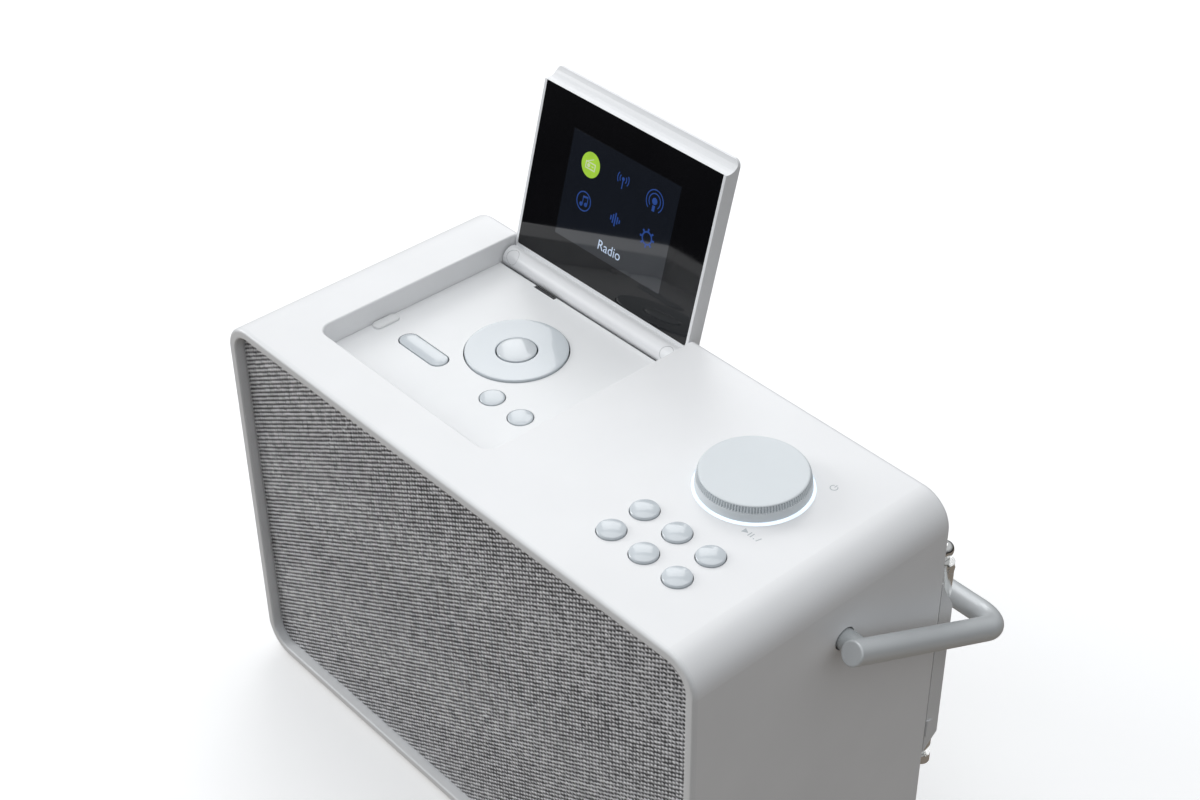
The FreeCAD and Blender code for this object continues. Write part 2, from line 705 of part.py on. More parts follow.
def make_tray_controls():
    nav_top = f"({floor_level} + nav_rise)"
    subpart(tube("ring_control", "nav_radius", "nav_bore", "nav_thickness",
                 ("nav_x", "nav_depth", f"{nav_top} - nav_thickness")), "nav_ring")
    subpart(cylinder("nav_button", "nav_button_radius", "4",
                     ("nav_x", "nav_depth", f"{floor_level} + nav_button_rise - 4")), "nav_centre_button")
    subpart(tube("gimbal", "gimbal_radius", "gimbal_bore", "gimbal_thickness",
                 ("nav_x", "nav_depth", f"{floor_level} - gimbal_drop - gimbal_thickness")), "nav_gimbal")
    for name in ("back_key", "menu_key"):
        subpart(cylinder(name + "_body", "key_radius", "key_length",
                         (f"{name}_x", "key_depth", f"{floor_level} + key_rise - key_length")), name)
    subpart(flat_slab("rocker", ("rocker_x", "key_depth"), ("rocker_length", "rocker_width"),
                      "rocker_width/2 - 0.1", f"{floor_level} - 2.6", "3.4"), "source_rocker")
    board_low = f"({floor_level} - key_board_drop - board_thickness)"
    subpart(centred_box("key_board_plate", (f"{recess_width} - 14", "78", "board_thickness"),
                        (recess_middle, "70", board_low)), "key_board")
    switches = []
    spots = [("back_key_x", "key_depth"), ("menu_key_x", "key_depth"), ("nav_x", "nav_depth"),
             ("rocker_x - 9", "key_depth"), ("rocker_x + 9", "key_depth")]
    spots += [(f"nav_x + {dx}", f"nav_depth + {dy}") for dx, dy in ((17, 0), (-17, 0), (0, 17), (0, -17))]
    for i, (x, y) in enumerate(spots):
        switches.append(centred_box(f"tray_switch_{i}", ("switch_size", "switch_size", "switch_height"),
                                    (x, y, f"{board_low} + board_thickness")))
    subpart(group("tray_switch_set", *switches), "key_switches")


# ---- knob and presets ----

def preset_places():
    for row in (1, 0):
        for column in range(3):
            yield f"preset_x + {column}*preset_pitch", f"preset_depth + {row}*preset_row_pitch"


def make_presets():
    switches = []
    for i, (x, y) in enumerate(preset_places(), 1):
        stem = cylinder(f"preset_stem_{i}", "preset_radius", "preset_length + preset_edge",
                        (x, y, "top_level - preset_length"))
        crown_radius = "(preset_radius^2 + preset_dome^2)/(2*preset_dome)"
        crown = sphere(f"preset_crown_{i}", crown_radius,
                       (x, y, f"top_level + preset_edge + preset_dome - {crown_radius}"))
        limit_block = cylinder(f"preset_limit_{i}", "preset_radius", "6",
                               (x, y, "top_level + preset_edge - 0.2"))
        dome = common(f"preset_dome_{i}", crown, limit_block)
        subpart(fuse(f"preset_{i}", stem, dome), f"preset_button_{i}")
        switches.append(centred_box(f"preset_switch_{i}", ("switch_size", "switch_size", "switch_height"),
                                    (x, y, "top_level - preset_board_drop + board_thickness")))
    subpart(centred_box("preset_board_plate",
                        ("3*preset_pitch + 6", "2*preset_row_pitch + 4", "board_thickness"),
                        ("preset_x + preset_pitch", "preset_depth + preset_row_pitch/2",
                         "top_level - preset_board_drop")), "preset_board")
    subpart(group("preset_switch_set", *switches), "preset_switches")


def make_knob():
    at = ("knob_x", "knob_depth")
    skirt = cone("knob_skirt", "knob_radius", "knob_top_radius", "knob_height",
                 (*at, "top_level + knob_lift"))
    hollow = tube("knob_hollow_ring", "knob_top_radius - 2.2", "shaft_radius + 3", "knob_hollow + 1",
                  (*at, "top_level + knob_lift - 1"))
    socket = cylinder("knob_socket", "shaft_radius", "knob_hollow + 1", (*at, "top_level + knob_lift - 1"))
    shaft_top = "(top_level + knob_lift + knob_hollow)"
    solid = cut("knob_cut", skirt, hollow, socket)
    high = SIZES["top_level"] + SIZES["knob_lift"] + SIZES["knob_height"]
    soft = rounded_edges("knob_soft", solid, 1.2,
                         lambda edge: all(abs(v.Z - high) < 0.01 for v in edge.Vertexes))
    subpart(soft, "volume_knob")
    subpart(cylinder("shaft", "shaft_radius", "shaft_length", (*at, f"{shaft_top} - shaft_length")),
            "knob_shaft")
    subpart(tube("light_ring", "ring_radius", "ring_bore", "ring_thickness",
                 (*at, "top_level - ring_sunk")),
            "knob_light_ring")
    rotor_low = "(top_level - 0.6 - rotor_length)"
    subpart(tube("rotor", "rotor_radius", "shaft_radius + running_gap", "rotor_length", (*at, rotor_low)),
            "encoder_rotor")
    housing_top = "(top_level - shell_wall)"
    housing = centred_box("encoder_block", ("encoder_size", "encoder_size", "encoder_height"),
                          (*at, f"{housing_top} - encoder_height"))
    bore = cylinder("encoder_bore", "rotor_radius + running_gap", "20",
                    (*at, f"{housing_top} - encoder_height - 5"))
    subpart(cut("encoder", housing, bore), "encoder_housing")


# ---- lid, built closed about the hinge axis and then turned open ----

def lid_slab(name, start, end, half_width, low, high, radius):
    # A level plate in the lid's own frame: start and end run out from the hinge.
    body = doc.addObject("PartDesign::Body", name)
    sketch = sketch_on(body, "XY_Plane", name + "_outline", ("0", f"-(({start}) + ({end}))/2", low))
    rounded_outline(sketch, f"2*({half_width})", f"({end}) - ({start})", radius)
    pad(body, sketch, f"({high}) - ({low})")
    return body


def lid_box(name, start, end, half_width, low, high):
    piece = doc.addObject("Part::Box", name)
    bind(piece, Length=f"2*({half_width})", Width=f"({end}) - ({start})", Height=f"({high}) - ({low})")
    piece.setExpression("Placement.Base.x", expr(f"-({half_width})"))
    piece.setExpression("Placement.Base.y", expr(f"-({end})"))
    piece.setExpression("Placement.Base.z", expr(low))
    return piece


def lid_roll(name, radius, start, length):
    piece = doc.addObject("Part::Cylinder", name)
    bind(piece, Radius=radius, Height=length)
    piece.Placement.Rotation = AXIS_TURN["x"]
    piece.setExpression("Placement.Base.x", expr(start))
    return piece


def lid_plug(name, radius, x):
    # A short stub that stands radially out of the roll.
    angle = math.radians(SIZES["plug_angle"])
    outward = Vector(0, math.cos(angle), math.sin(angle))
    piece = doc.addObject("Part::Cylinder", name)
    bind(piece, Radius=radius, Height="plug_depth + 1")
    piece.Placement.Rotation = Rotation(Vector(0, 0, 1), outward)
    reach = "(roll_radius - plug_depth)"
    piece.setExpression("Placement.Base.x", expr(x))
    piece.setExpression("Placement.Base.y", expr(f"{reach}*cos(plug_angle*1deg)"))
    piece.setExpression("Placement.Base.z", expr(f"{reach}*sin(plug_angle*1deg)"))
    return piece


def lid_subpart(piece, label):
    # The closed lid piece is turned open about the hinge axis.
    piece.Placement = FreeCAD.Placement(
        Vector((SIZES["recess_left"] + SIZES["recess_right"]) / 2,
               SIZES["hinge_depth"] - SIZES["front_to_origin"],
               SIZES["top_level"] - SIZES["hinge_drop"]),
        Rotation(Vector(1, 0, 0), -SIZES["lid_opening"]))
    return subpart(piece, label)


lid_half = f"({recess_width}/2 - lid_gap)"
glass_face = "(hinge_drop - lid_thickness)"


def lies_round_lid_skin(edge):
    # The outer skin's edges, apart from the free one, which its profile rounds.
    tip = -SIZES["lid_length"] + 1.5
    return all(abs(v.Z - SIZES["hinge_drop"]) < 0.01 for v in edge.Vertexes) and any(
        v.Y > tip for v in edge.Vertexes)


def make_lid_cover():
    # Side view: the skin, the finger lip with its concave underside, and the body under it.
    steps = 6
    lip_start, lip_end = "(glass_end + 0.1)", "(lid_length - 1.2)"
    lip_low = "(hinge_drop - lip_thickness)"
    points = [("lid_tail", "hinge_drop - lid_skin"), ("lid_tail", "hinge_drop"),
              ("-lid_length + 1.0", "hinge_drop"), ("-lid_length + 0.2", "hinge_drop - 0.5"),
              ("-lid_length", "hinge_drop - 1.1"), ("-lid_length + 0.3", f"{lip_low} + 0.1")]
    for i in range(steps + 1):
        turn = f"({i}*90deg/{steps})"
        points.append((f"-{lip_end} + ({lip_end} - {lip_start})*sin({turn})",
                       f"{lip_low} - ({lip_low} - {glass_face})*(1 - cos({turn}))"))
    points += [("-glass_start", glass_face), ("-glass_start", "hinge_drop - lid_skin")]
    block = side_profile("cover_profile", points, f"-{lid_half}", f"2*{lid_half}", from_front=False)
    plan = lid_slab("cover_plan", "-lid_tail - 20", "lid_length", lid_half, "-20", "20", "lid_corner")
    rounded = common("cover_rounded", block, plan)
    pocket = lid_box("cover_pocket", "glass_start - 10", "glass_end + 0.1", f"{lid_half} - lid_rim",
                     "-10", "hinge_drop - lid_skin")
    soft = rounded_edges("cover_soft", rounded, "soft_edge", lies_round_lid_skin)
    lid_subpart(cut("lid_shell", soft, pocket), "lid_cover")


def make_lid_inside():
    inner_half = f"({lid_half} - lid_rim - 0.1)"
    carrier_low = f"({glass_face} + glass_thickness + 0.1)"
    carrier_high = "(hinge_drop - lid_skin - 0.1)"
    carrier = lid_box("carrier_plate", "glass_start - 1", "glass_end", inner_half, carrier_low,
                      carrier_high)
    web = lid_box("carrier_web", "-0.5", "glass_start - 0.1", f"({lid_half} - 0.2)", f"{glass_face} + 0.2",
                  carrier_high)
    roll_length = f"(2*{lid_half} - 0.8)"
    roll = lid_roll("carrier_roll", "roll_radius", f"-{roll_length}/2", roll_length)
    screen_half = "(screen_width/2)"
    screen_low = f"({carrier_low})"
    window = lid_box("carrier_window", "screen_start - 0.2", "screen_end + 0.2", f"{screen_half} + 0.2",
                     f"{screen_low} - 1", f"{screen_low} + screen_thickness + 0.1")
    window.setExpression("Placement.Base.x", expr(f"screen_shift - {screen_half} - 0.2"))
    bores = [lid_roll("hinge_bore_left", "hinge_bore_radius", f"-{lid_half} - 1", "hinge_pin_length + 2"),
             lid_roll("hinge_bore_right", "hinge_bore_radius", f"{lid_half} - hinge_pin_length - 1",
                      "hinge_pin_length + 2")]
    plug_x = f"({lid_half} - plug_inset)"
    seats = [lid_plug(f"plug_seat_{i}", "plug_radius + 0.12", f"{side}*{plug_x}") for i,
             side in enumerate((-1, 1))]
    solid = fuse("carrier_solid", carrier, web, roll)
    lid_subpart(cut("carrier", solid, window, *bores, *seats), "lid_frame")
    plugs = []
    for i, side in enumerate((-1, 1)):
        stub = lid_plug(f"plug_stub_{i}", "plug_radius", f"{side}*{plug_x}")
        skin = lid_roll(f"plug_skin_{i}", "roll_radius - 0.05", f"-{lid_half}", f"2*{lid_half}")
        plugs.append(common(f"plug_{i}", stub, skin))
    lid_subpart(group("plug_set", *plugs), "hinge_plugs")
    lid_subpart(lid_slab("glass", "glass_start", "glass_end", inner_half, glass_face,
                         f"{glass_face} + glass_thickness", "1.2"), "display_glass")
    screen = lid_box("screen", "screen_start", "screen_end", screen_half, screen_low,
                     f"{screen_low} + screen_thickness")
    screen.setExpression("Placement.Base.x", expr(f"screen_shift - {screen_half}"))
    lid_subpart(group("screen_set", screen), "display_panel")


def make_hinge_pins():
    pins = []
    level = "top_level - hinge_drop"
    reach = "(hinge_pin_length + lid_gap + recess_wall - 0.4)"
    starts = ("recess_left - recess_wall + 0.2", f"recess_right + recess_wall - 0.2 - {reach}")
    for i, start in enumerate(starts):
        pins.append(cylinder(f"hinge_pin_{i}", "hinge_pin_radius", reach, (start, "hinge_depth", level),
                             "x"))
    subpart(group("hinge_pin_set", *pins), "hinge_pins")


# ---- handle, built level behind its pivot and then drooped ----

def handle_piece(kind, name, **sizes):
    piece = doc.addObject(kind, name)
    bind(piece, **sizes)
    return piece


def move(piece, x, y, z, turn):
    piece.Placement.Rotation = turn
    for axis, text in zip("xyz", (x, y, z)):
        piece.setExpression(f"Placement.Base.{axis}", expr(text))
    return piece


def handle_subpart(piece, label):
    # The level handle is turned down about its pivot axis.
    piece.Placement = FreeCAD.Placement(
        Vector(0, SIZES["pivot_depth"] - SIZES["front_to_origin"],
               SIZES["top_level"] - SIZES["pivot_drop"]),
        Rotation(Vector(1, 0, 0), -SIZES["handle_droop"]))
    return subpart(piece, label)


def make_handle():
    straight = "(arm_length - bend_radius + arm_stub)"
    pieces = []
    pins = []
    headed = []
    for i, side in enumerate((-1, 1)):
        arm = handle_piece("Part::Cylinder", f"arm_{i}", Radius="tube_radius", Height=straight)
        pieces.append(move(arm, f"{side}*arm_x", "-arm_stub", "0", AXIS_TURN["y"]))
        bend = handle_piece("Part::Torus", f"bend_{i}", Radius1="bend_radius", Radius2="tube_radius")
        bend.Angle3 = 90
        turn = Rotation(Vector(0, 0, 1), 0 if side > 0 else 90)
        pieces.append(move(bend, f"{side}*(arm_x - bend_radius)", "arm_length - bend_radius", "0", turn))
        inner, outer = "(body_width/2 - shell_wall - pivot_bush_length - 1.7)", "arm_x"
        pin_start = inner if side > 0 else f"-{outer}"
        pin = handle_piece("Part::Cylinder", f"pivot_pin_{i}", Radius="pivot_pin_radius",
                           Height=f"{outer} - {inner}")
        move(pin, pin_start, "0", "0", AXIS_TURN["x"])
        disc = handle_piece("Part::Cylinder", f"pin_head_{i}", Radius="pivot_bush_radius - 1",
                            Height="pin_head_thickness")
        disc_start = f"{inner} - pin_head_thickness" if side > 0 else f"-{inner}"
        move(disc, disc_start, "0", "0", AXIS_TURN["x"])
        pins.append(pin)
        headed.append(fuse(f"headed_pin_{i}", pin, disc))
    grip = handle_piece("Part::Cylinder", "grip", Radius="tube_radius", Height="2*(arm_x - bend_radius)")
    pieces.append(move(grip, "-(arm_x - bend_radius)", "arm_length", "0", AXIS_TURN["x"]))
    bar = rounded_edges("bail_soft", fuse("bail_solid", *pieces), "soft_edge",
                        lambda edge: all(abs(v.Y + SIZES["arm_stub"]) < 0.01 for v in edge.Vertexes))
    handle_subpart(cut("bail", bar, *pins), "handle_tube")
    handle_subpart(group("pivot_pin_set", *headed), "handle_pivot_pins")
    bushes = []
    for side in (-1, 1):
        inner_face = "body_width/2 - shell_wall"
        start = f"{inner_face} - pivot_bush_length" if side > 0 else f"-({inner_face})"
        bushes.append(tube(f"bush_{len(bushes)}", "pivot_bush_radius", "pivot_bush_bore",
                           "pivot_bush_length",
                           (start, "pivot_depth", "top_level - pivot_drop"), "x"))
    subpart(group("bush_set", *bushes), "pivot_bushes")


# ---- antenna ----

def mast_radii(section):
    # Each section slides inside the one before it.
    outer = f"(mast_radius - {section}*(mast_wall + running_gap))"
    return outer, f"({outer} - mast_wall)"


def make_antenna():
    swivel_level = "(top_level - swivel_drop)"
    pin_level = "(top_level - tilt_drop)"
    at = ("antenna_x", "antenna_depth")
    stem = cylinder("base_stem", "base_stem_radius", f"antenna_depth - {panel_front} + 3",
                    ("antenna_x", f"{panel_front} - 3", swivel_level), "y")
    flange = cylinder("base_flange", "base_flange_radius", "1.2",
                      ("antenna_x", f"{panel_rear} + guard_base + 0.1",
                                                                   swivel_level), "y")
    ball = sphere("base_ball", "ball_radius", (*at, swivel_level))
    reach = f"({swivel_level} - {pin_level})"
    tongue = centred_box("base_tongue", ("tongue_thickness", "tongue_width", reach), (*at, pin_level))
    tongue_end = cylinder("tongue_end", "tongue_width/2", "tongue_thickness",
                          ("antenna_x - tongue_thickness/2", "antenna_depth", pin_level), "x")
    pin_hole = cylinder("tongue_hole", "tilt_pin_radius + running_gap", "20",
                        ("antenna_x - 10", "antenna_depth",
                                                                             pin_level), "x")
    clip = cylinder("base_clip", "base_stem_radius + 1.6", "1.2", ("antenna_x", f"{panel_front} - 1.3",
                                                                  swivel_level), "y")
    subpart(cut("knuckle", fuse("knuckle_solid", stem, clip, flange, ball, tongue, tongue_end), pin_hole),
            "antenna_base")
    shank = cylinder("tilt_shank", "tilt_pin_radius", "2*fork_radius - 0.6",
                     ("antenna_x - fork_radius + 0.3", "antenna_depth", pin_level), "x")
    head = cylinder("tilt_head", "tilt_pin_head", "0.8", ("antenna_x + fork_radius - 0.9", "antenna_depth",
                                                           pin_level), "x")
    subpart(fuse("tilt_pin", shank, head), "antenna_tilt_pin")
    fork_low = f"({pin_level} - fork_length)"
    ears = cylinder("fork_ears", "fork_radius", f"fork_length + 2.2", (*at, fork_low))
    slot = centred_box("fork_slot", ("tongue_thickness + 2*ear_gap", "20", "20"),
                       (*at, f"{pin_level} - tongue_width/2 - 0.5"))
    head_seat = cylinder("fork_head_seat", "tilt_pin_head + 0.05", "5",
                         ("antenna_x + fork_radius - 0.95", "antenna_depth", pin_level), "x")
    bolt_hole = cylinder("fork_hole", "tilt_pin_radius", "20",
                         ("antenna_x - 10", "antenna_depth", pin_level), "x")
    ferrule_low = f"({fork_low} - ferrule_length)"
    ferrule = tube("ferrule", "ferrule_radius", "mast_radius", "ferrule_length", (*at, ferrule_low))
    ears_cut = cut("fork_cut", ears, slot, head_seat, bolt_hole)
    subpart(fuse("fork", ears_cut, ferrule), "antenna_fork")
    mast_top = f"({fork_low})"
    for section in range(5):
        outer, inner = mast_radii(section)
        start = f"{mast_top} - {section}*2"
        length = f"(mast_length - {section}*2 + {section}*mast_step)"
        label = f"antenna_section_{section + 1}"
        low = (*at, f"{start} - {length}")
        if section < 4:
            subpart(tube(label + "_tube", outer, inner, length, low), label)
        else:
            subpart(cylinder(label + "_rod", outer, length, low), label)
    tip_top = f"({mast_top} - mast_length - 4*mast_step)"
    subpart(cylinder("tip", "tip_radius", "tip_length", (*at, f"{tip_top} - tip_length")), "antenna_tip")


def make_guard():
    heights = [("guard_root_depth", "guard_root_low"), ("guard_edge_depth", "guard_edge_low"),
               ("guard_edge_depth", "guard_edge_high"), ("guard_root_depth", "guard_root_high")]
    ridge = side_profile("guard_ridge", [(y, f"top_level - {drop}") for y, drop in heights],
                         "guard_outer_x - guard_wall", "guard_wall")
    width = "(guard_outer_x - guard_inner_x)"
    strip_inner = box("guard_strip_inner",
                      (f"body_width/2 - shell_wall - fit_gap - guard_inner_x", "guard_base",
                                            "guard_root_low - guard_root_high + 14"),
                      ("guard_inner_x", panel_rear, "top_level - guard_root_low"))
    strip_outer = box("guard_strip_outer", (width, f"{panel_rear} + guard_base - guard_root_depth",
                                            "guard_root_low - guard_root_high"),
                      ("guard_inner_x", "guard_root_depth", "top_level - guard_root_low"))
    boss = cylinder("guard_boss", "guard_boss_radius", "1.2",
                    ("guard_outer_x - 0.5", "guard_root_depth + 0.4",
                                                               "top_level - guard_boss_drop"), "x")
    stem_hole = cylinder("guard_stem_hole", "base_stem_radius + 0.3", "40",
                         ("antenna_x", "body_depth - 20", "top_level - swivel_drop"), "y")
    shadow_gap = box("guard_shadow_gap", ("20", "20", "200"),
                     ("body_width/2 - shell_wall - fit_gap", "guard_root_depth - 20", "0"))
    subpart(cut("guard", fuse("guard_solid", ridge, strip_inner, strip_outer, boss), stem_hole, shadow_gap),
            "antenna_guard")


# ---- inside ----

def make_speakers():
    mount = "(bezel_depth + bezel_spigot + baffle_thickness)"
    at = ("woofer_x", mount, "woofer_level")
    flange = tube("woofer_flange", "woofer_radius", "woofer_cone", "2.5", at, "y")
    basket_at = ("woofer_x", f"{mount} + 2.5", "woofer_level")
    basket = tube("woofer_basket", "woofer_cone + 2", "woofer_cone", "woofer_height", basket_at, "y")
    rear_at = ("woofer_x", f"{mount} + 2.5 + woofer_height - 2", "woofer_level")
    rear = tube("woofer_rear", "woofer_cone + 2", "woofer_throat", "2", rear_at, "y")
    subpart(fuse("woofer_frame_solid", flange, basket, rear), "woofer_frame")
    outer = cone("cone_outer", "woofer_cone - 0.8", "woofer_throat - 1", "woofer_height - 4", at, "y")
    inner = cone("cone_inner", "woofer_cone - 2.2", "woofer_throat - 2.4", "woofer_height - 4",
                 ("woofer_x", f"{mount} - 0.01", "woofer_level"), "y")
    mouth = cylinder("cone_throat", "woofer_throat - 3", "20", ("woofer_x", f"{mount} + woofer_height - 8",
                                                                 "woofer_level"), "y")
    subpart(cut("woofer_cone_shell", outer, inner, mouth), "woofer_cone_part")
    magnet_at = ("woofer_x", f"{mount} + 2.5 + woofer_height", "woofer_level")
    subpart(cylinder("magnet", "magnet_radius", "magnet_height", magnet_at, "y"), "woofer_magnet")
    tweeter_at = ("tweeter_x", mount, "tweeter_level")
    subpart(cylinder("tweeter_can", "tweeter_radius", "tweeter_height", tweeter_at, "y"), "tweeter")
    subpart(tube("port", "port_radius", "port_bore", "port_length", ("port_x", mount, "port_level"), "y"),
            "bass_port")


def make_inside():
    subpart(centred_box("battery_block", ("battery_width - 1", "battery_thickness", "battery_height - 1"),
                        ("0", f"{panel_front} - battery_thickness/2 - 0.5", "battery_low")), "battery_pack")
    subpart(centred_box("main_board_plate", ("main_board_width", "board_thickness", "main_board_height"),
                        ("0", f"{panel_front} - battery_thickness - 6", "battery_low - 4")), "main_board")
    jacks = []
    for name in ("aux", "phones"):
        jacks.append(tube(f"{name}_jack", "jack_radius", "jack_bore", "jack_length",
                          (f"{name}_x", f"{panel_rear} - jack_length", "socket_level"), "y"))
    subpart(group("jack_set", *jacks), "audio_sockets")
    block = upright_slab("usb_block", ("usb_x", "socket_level"), ("usb_width", "usb_height"),
                         "usb_height/2 - 0.1",
                         f"{panel_rear} - usb_length", "usb_length")
    mouth = upright_slab("usb_mouth", ("usb_x", "socket_level"), ("usb_width - 0.8", "usb_height - 0.8"),
                         "usb_height/2 - 0.5", f"{panel_rear} - usb_length + 1", "usb_length")
    subpart(cut("usb_shell", block, mouth), "usb_socket")


make_shell()
make_front()
make_feet()
make_back()
make_tray()
make_tray_controls()
make_presets()
make_knob()
make_lid_cover()
make_lid_inside()
make_hinge_pins()
make_handle()
make_antenna()
make_guard()
make_speakers()
make_inside()
doc.recompute()

# ---- check and write ----

for item in doc.Objects:
    failed = [state for state in item.State if state in ("Invalid", "Error")]
    if failed:
        raise RuntimeError(f"{item.Name} ({item.Label}) is {failed}")
for piece in subparts:
    if piece.Shape.isNull() or not piece.Shape.isValid() or not piece.Shape.Solids:
        raise RuntimeError(f"{piece.Label} has no sound shape")

os.makedirs("parts", exist_ok=True)
for piece in subparts:
    piece.Shape.exportStep(os.path.join("parts", piece.Label + ".step"))
print(f"{len(subparts)} sub-parts written")
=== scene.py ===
import math

import bpy
import numpy as np
from mathutils import Matrix, Vector


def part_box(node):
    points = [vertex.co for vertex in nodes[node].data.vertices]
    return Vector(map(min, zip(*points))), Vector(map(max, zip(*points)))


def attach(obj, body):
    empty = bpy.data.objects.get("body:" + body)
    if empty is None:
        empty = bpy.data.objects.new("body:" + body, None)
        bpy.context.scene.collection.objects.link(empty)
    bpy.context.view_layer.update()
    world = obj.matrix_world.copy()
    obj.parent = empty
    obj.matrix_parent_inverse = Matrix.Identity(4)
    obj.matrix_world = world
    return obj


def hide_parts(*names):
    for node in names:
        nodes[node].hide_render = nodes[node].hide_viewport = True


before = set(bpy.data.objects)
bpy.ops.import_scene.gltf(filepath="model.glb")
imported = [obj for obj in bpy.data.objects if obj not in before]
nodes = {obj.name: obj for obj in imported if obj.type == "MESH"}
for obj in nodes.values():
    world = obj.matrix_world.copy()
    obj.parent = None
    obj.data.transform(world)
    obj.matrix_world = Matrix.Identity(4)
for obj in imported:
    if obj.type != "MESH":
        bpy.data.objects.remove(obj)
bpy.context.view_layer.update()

mm = 0.001
print("frame loaded:", len(nodes), "nodes")


def addNode(tree, kind, inputs=None, **settings):
    node = tree.nodes.new("ShaderNode" + kind)
    for key, value in settings.items():
        setattr(node, key, value)
    for key, value in (inputs or {}).items():
        if isinstance(value, bpy.types.NodeSocket):
            tree.links.new(value, node.inputs[key])
        else:
            node.inputs[key].default_value = value
    return node


def mathNode(tree, operation, *values):
    return addNode(tree, "Math", dict(enumerate(values)), operation=operation).outputs[0]


def startMaterial(name):
    material = bpy.data.materials.new(name)
    material.use_nodes = True
    tree = material.node_tree
    shader = next(n for n in tree.nodes if n.type == "BSDF_PRINCIPLED")
    place = addNode(tree, "TexCoord").outputs["Object"]
    return material, tree, shader, place


def noise(tree, place, scale, detail, output="Fac"):
    return addNode(tree, "TexNoise", {"Vector": place, "Scale": scale, "Detail": detail}).outputs[output]


def mixColours(tree, factor, first, second):
    ramp = addNode(tree, "ValToRGB", {"Fac": factor})
    ramp.color_ramp.elements[0].position = 0.3
    ramp.color_ramp.elements[1].position = 0.7
    ramp.color_ramp.elements[0].color = (*first, 1)
    ramp.color_ramp.elements[1].color = (*second, 1)
    return ramp.outputs["Color"]


def scaled(colour, factor):
    return tuple(min(1.0, c * factor) for c in colour)


# One recipe for every moulded, painted or turned surface. Grain is the size of the surface texture.
def surfaceFinish(name, colour, roughness=0.4, metal=0.0, grain=0.7, depth=0.012, tone=0.02,
                  roughSpread=0.05, coat=0.0, coatRough=0.08, cloud=28.0, stretch=(1, 1, 1)):
    material, tree, shader, place = startMaterial(name)
    cloudy = noise(tree, place, 1 / (cloud * mm), 3.0)
    tree.links.new(mixColours(tree, cloudy, scaled(colour, 1 - tone), scaled(colour, 1 + tone)),
                   shader.inputs["Base Color"])
    drawn = addNode(tree, "Mapping", {"Vector": place, "Scale": stretch}).outputs["Vector"]
    fine = noise(tree, drawn, 1 / (grain * mm), 2.5)
    rough = addNode(tree, "MapRange", {
        "Value": fine, "From Min": 0.3, "From Max": 0.7,
        "To Min": roughness - roughSpread, "To Max": roughness + roughSpread,
    })
    tree.links.new(rough.outputs["Result"], shader.inputs["Roughness"])
    bump = addNode(tree, "Bump", {"Height": fine, "Distance": depth * mm, "Strength": 0.6})
    tree.links.new(bump.outputs["Normal"], shader.inputs["Normal"])
    shader.inputs["Metallic"].default_value = metal
    shader.inputs["Coat Weight"].default_value = coat
    shader.inputs["Coat Roughness"].default_value = coatRough
    return material


# Light that a piece gives off, uneven as it is behind moulded plastic.
def glowFinish(name, colour, strength, base=(0.8, 0.85, 0.9), spread=0.12, roughness=0.25, coat=0.0):
    material, tree, shader, place = startMaterial(name)
    patches = noise(tree, place, 220.0, 1.5)
    tint = mixColours(tree, patches, scaled(colour, 1 - spread), colour)
    tree.links.new(tint, shader.inputs["Emission Color"])
    shader.inputs["Emission Strength"].default_value = strength
    tree.links.new(mixColours(tree, patches, scaled(base, 0.95), base), shader.inputs["Base Color"])
    shader.inputs["Roughness"].default_value = roughness
    shader.inputs["Coat Weight"].default_value = coat
    shader.inputs["Coat Roughness"].default_value = 0.03
    return material


def addPiece(name, points, faces, body, material, replaces=(), sharp=35):
    mesh = bpy.data.meshes.new(name)
    mesh.from_pydata([tuple(p) for p in points], [], faces)
    mesh.update()
    piece = bpy.data.objects.new(name, mesh)
    bpy.context.scene.collection.objects.link(piece)
    mesh.materials.append(material)
    mesh.shade_smooth()
    if sharp:
        mesh.set_sharp_from_angle(angle=math.radians(sharp))
    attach(piece, body)
    if replaces:
        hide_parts(*replaces)
    return piece


# Points on a quarter or other arc, as (radius, height) pairs.
def arc(centreRadius, centreHeight, radius, start, end, steps=6):
    angles = [math.radians(start + (end - start) * i / steps) for i in range(steps + 1)]
    return [(centreRadius + radius * math.cos(a), centreHeight + radius * math.sin(a)) for a in angles]


# A turned or pill-shaped piece. The outline is a list of (radius, height) in mm above base.
def turned(outline, centre, base, steps, halfLength=0.0, along="x", hole=False, ribs=None):
    points = []
    for radius, height in outline:
        for i in range(steps):
            angle = 2 * math.pi * (i + 0.5) / steps
            reach = radius
            if ribs and ribs["low"] <= height <= ribs["high"]:
                wave = math.tanh(ribs["edge"] * math.cos(ribs["count"] * angle)) / math.tanh(ribs["edge"])
                reach -= ribs["depth"] * (0.5 - 0.5 * wave)
            x, y = reach * math.cos(angle), reach * math.sin(angle)
            if along == "x":
                x += math.copysign(halfLength, math.cos(angle))
            else:
                y += math.copysign(halfLength, math.sin(angle))
            points.append((centre[0] + x * mm, centre[1] + y * mm, base + height * mm))
    rings = len(outline)
    faces = []
    last = rings if hole else rings - 1
    for ring in range(last):
        after = (ring + 1) % rings
        for i in range(steps):
            j = (i + 1) % steps
            faces.append((ring * steps + i, ring * steps + j, after * steps + j, after * steps + i))
    if not hole:
        faces.append(tuple(reversed(range(steps))))
        faces.append(tuple((rings - 1) * steps + i for i in range(steps)))
    return points, faces


def centreOf(node):
    low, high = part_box(node)
    return (low + high) / 2


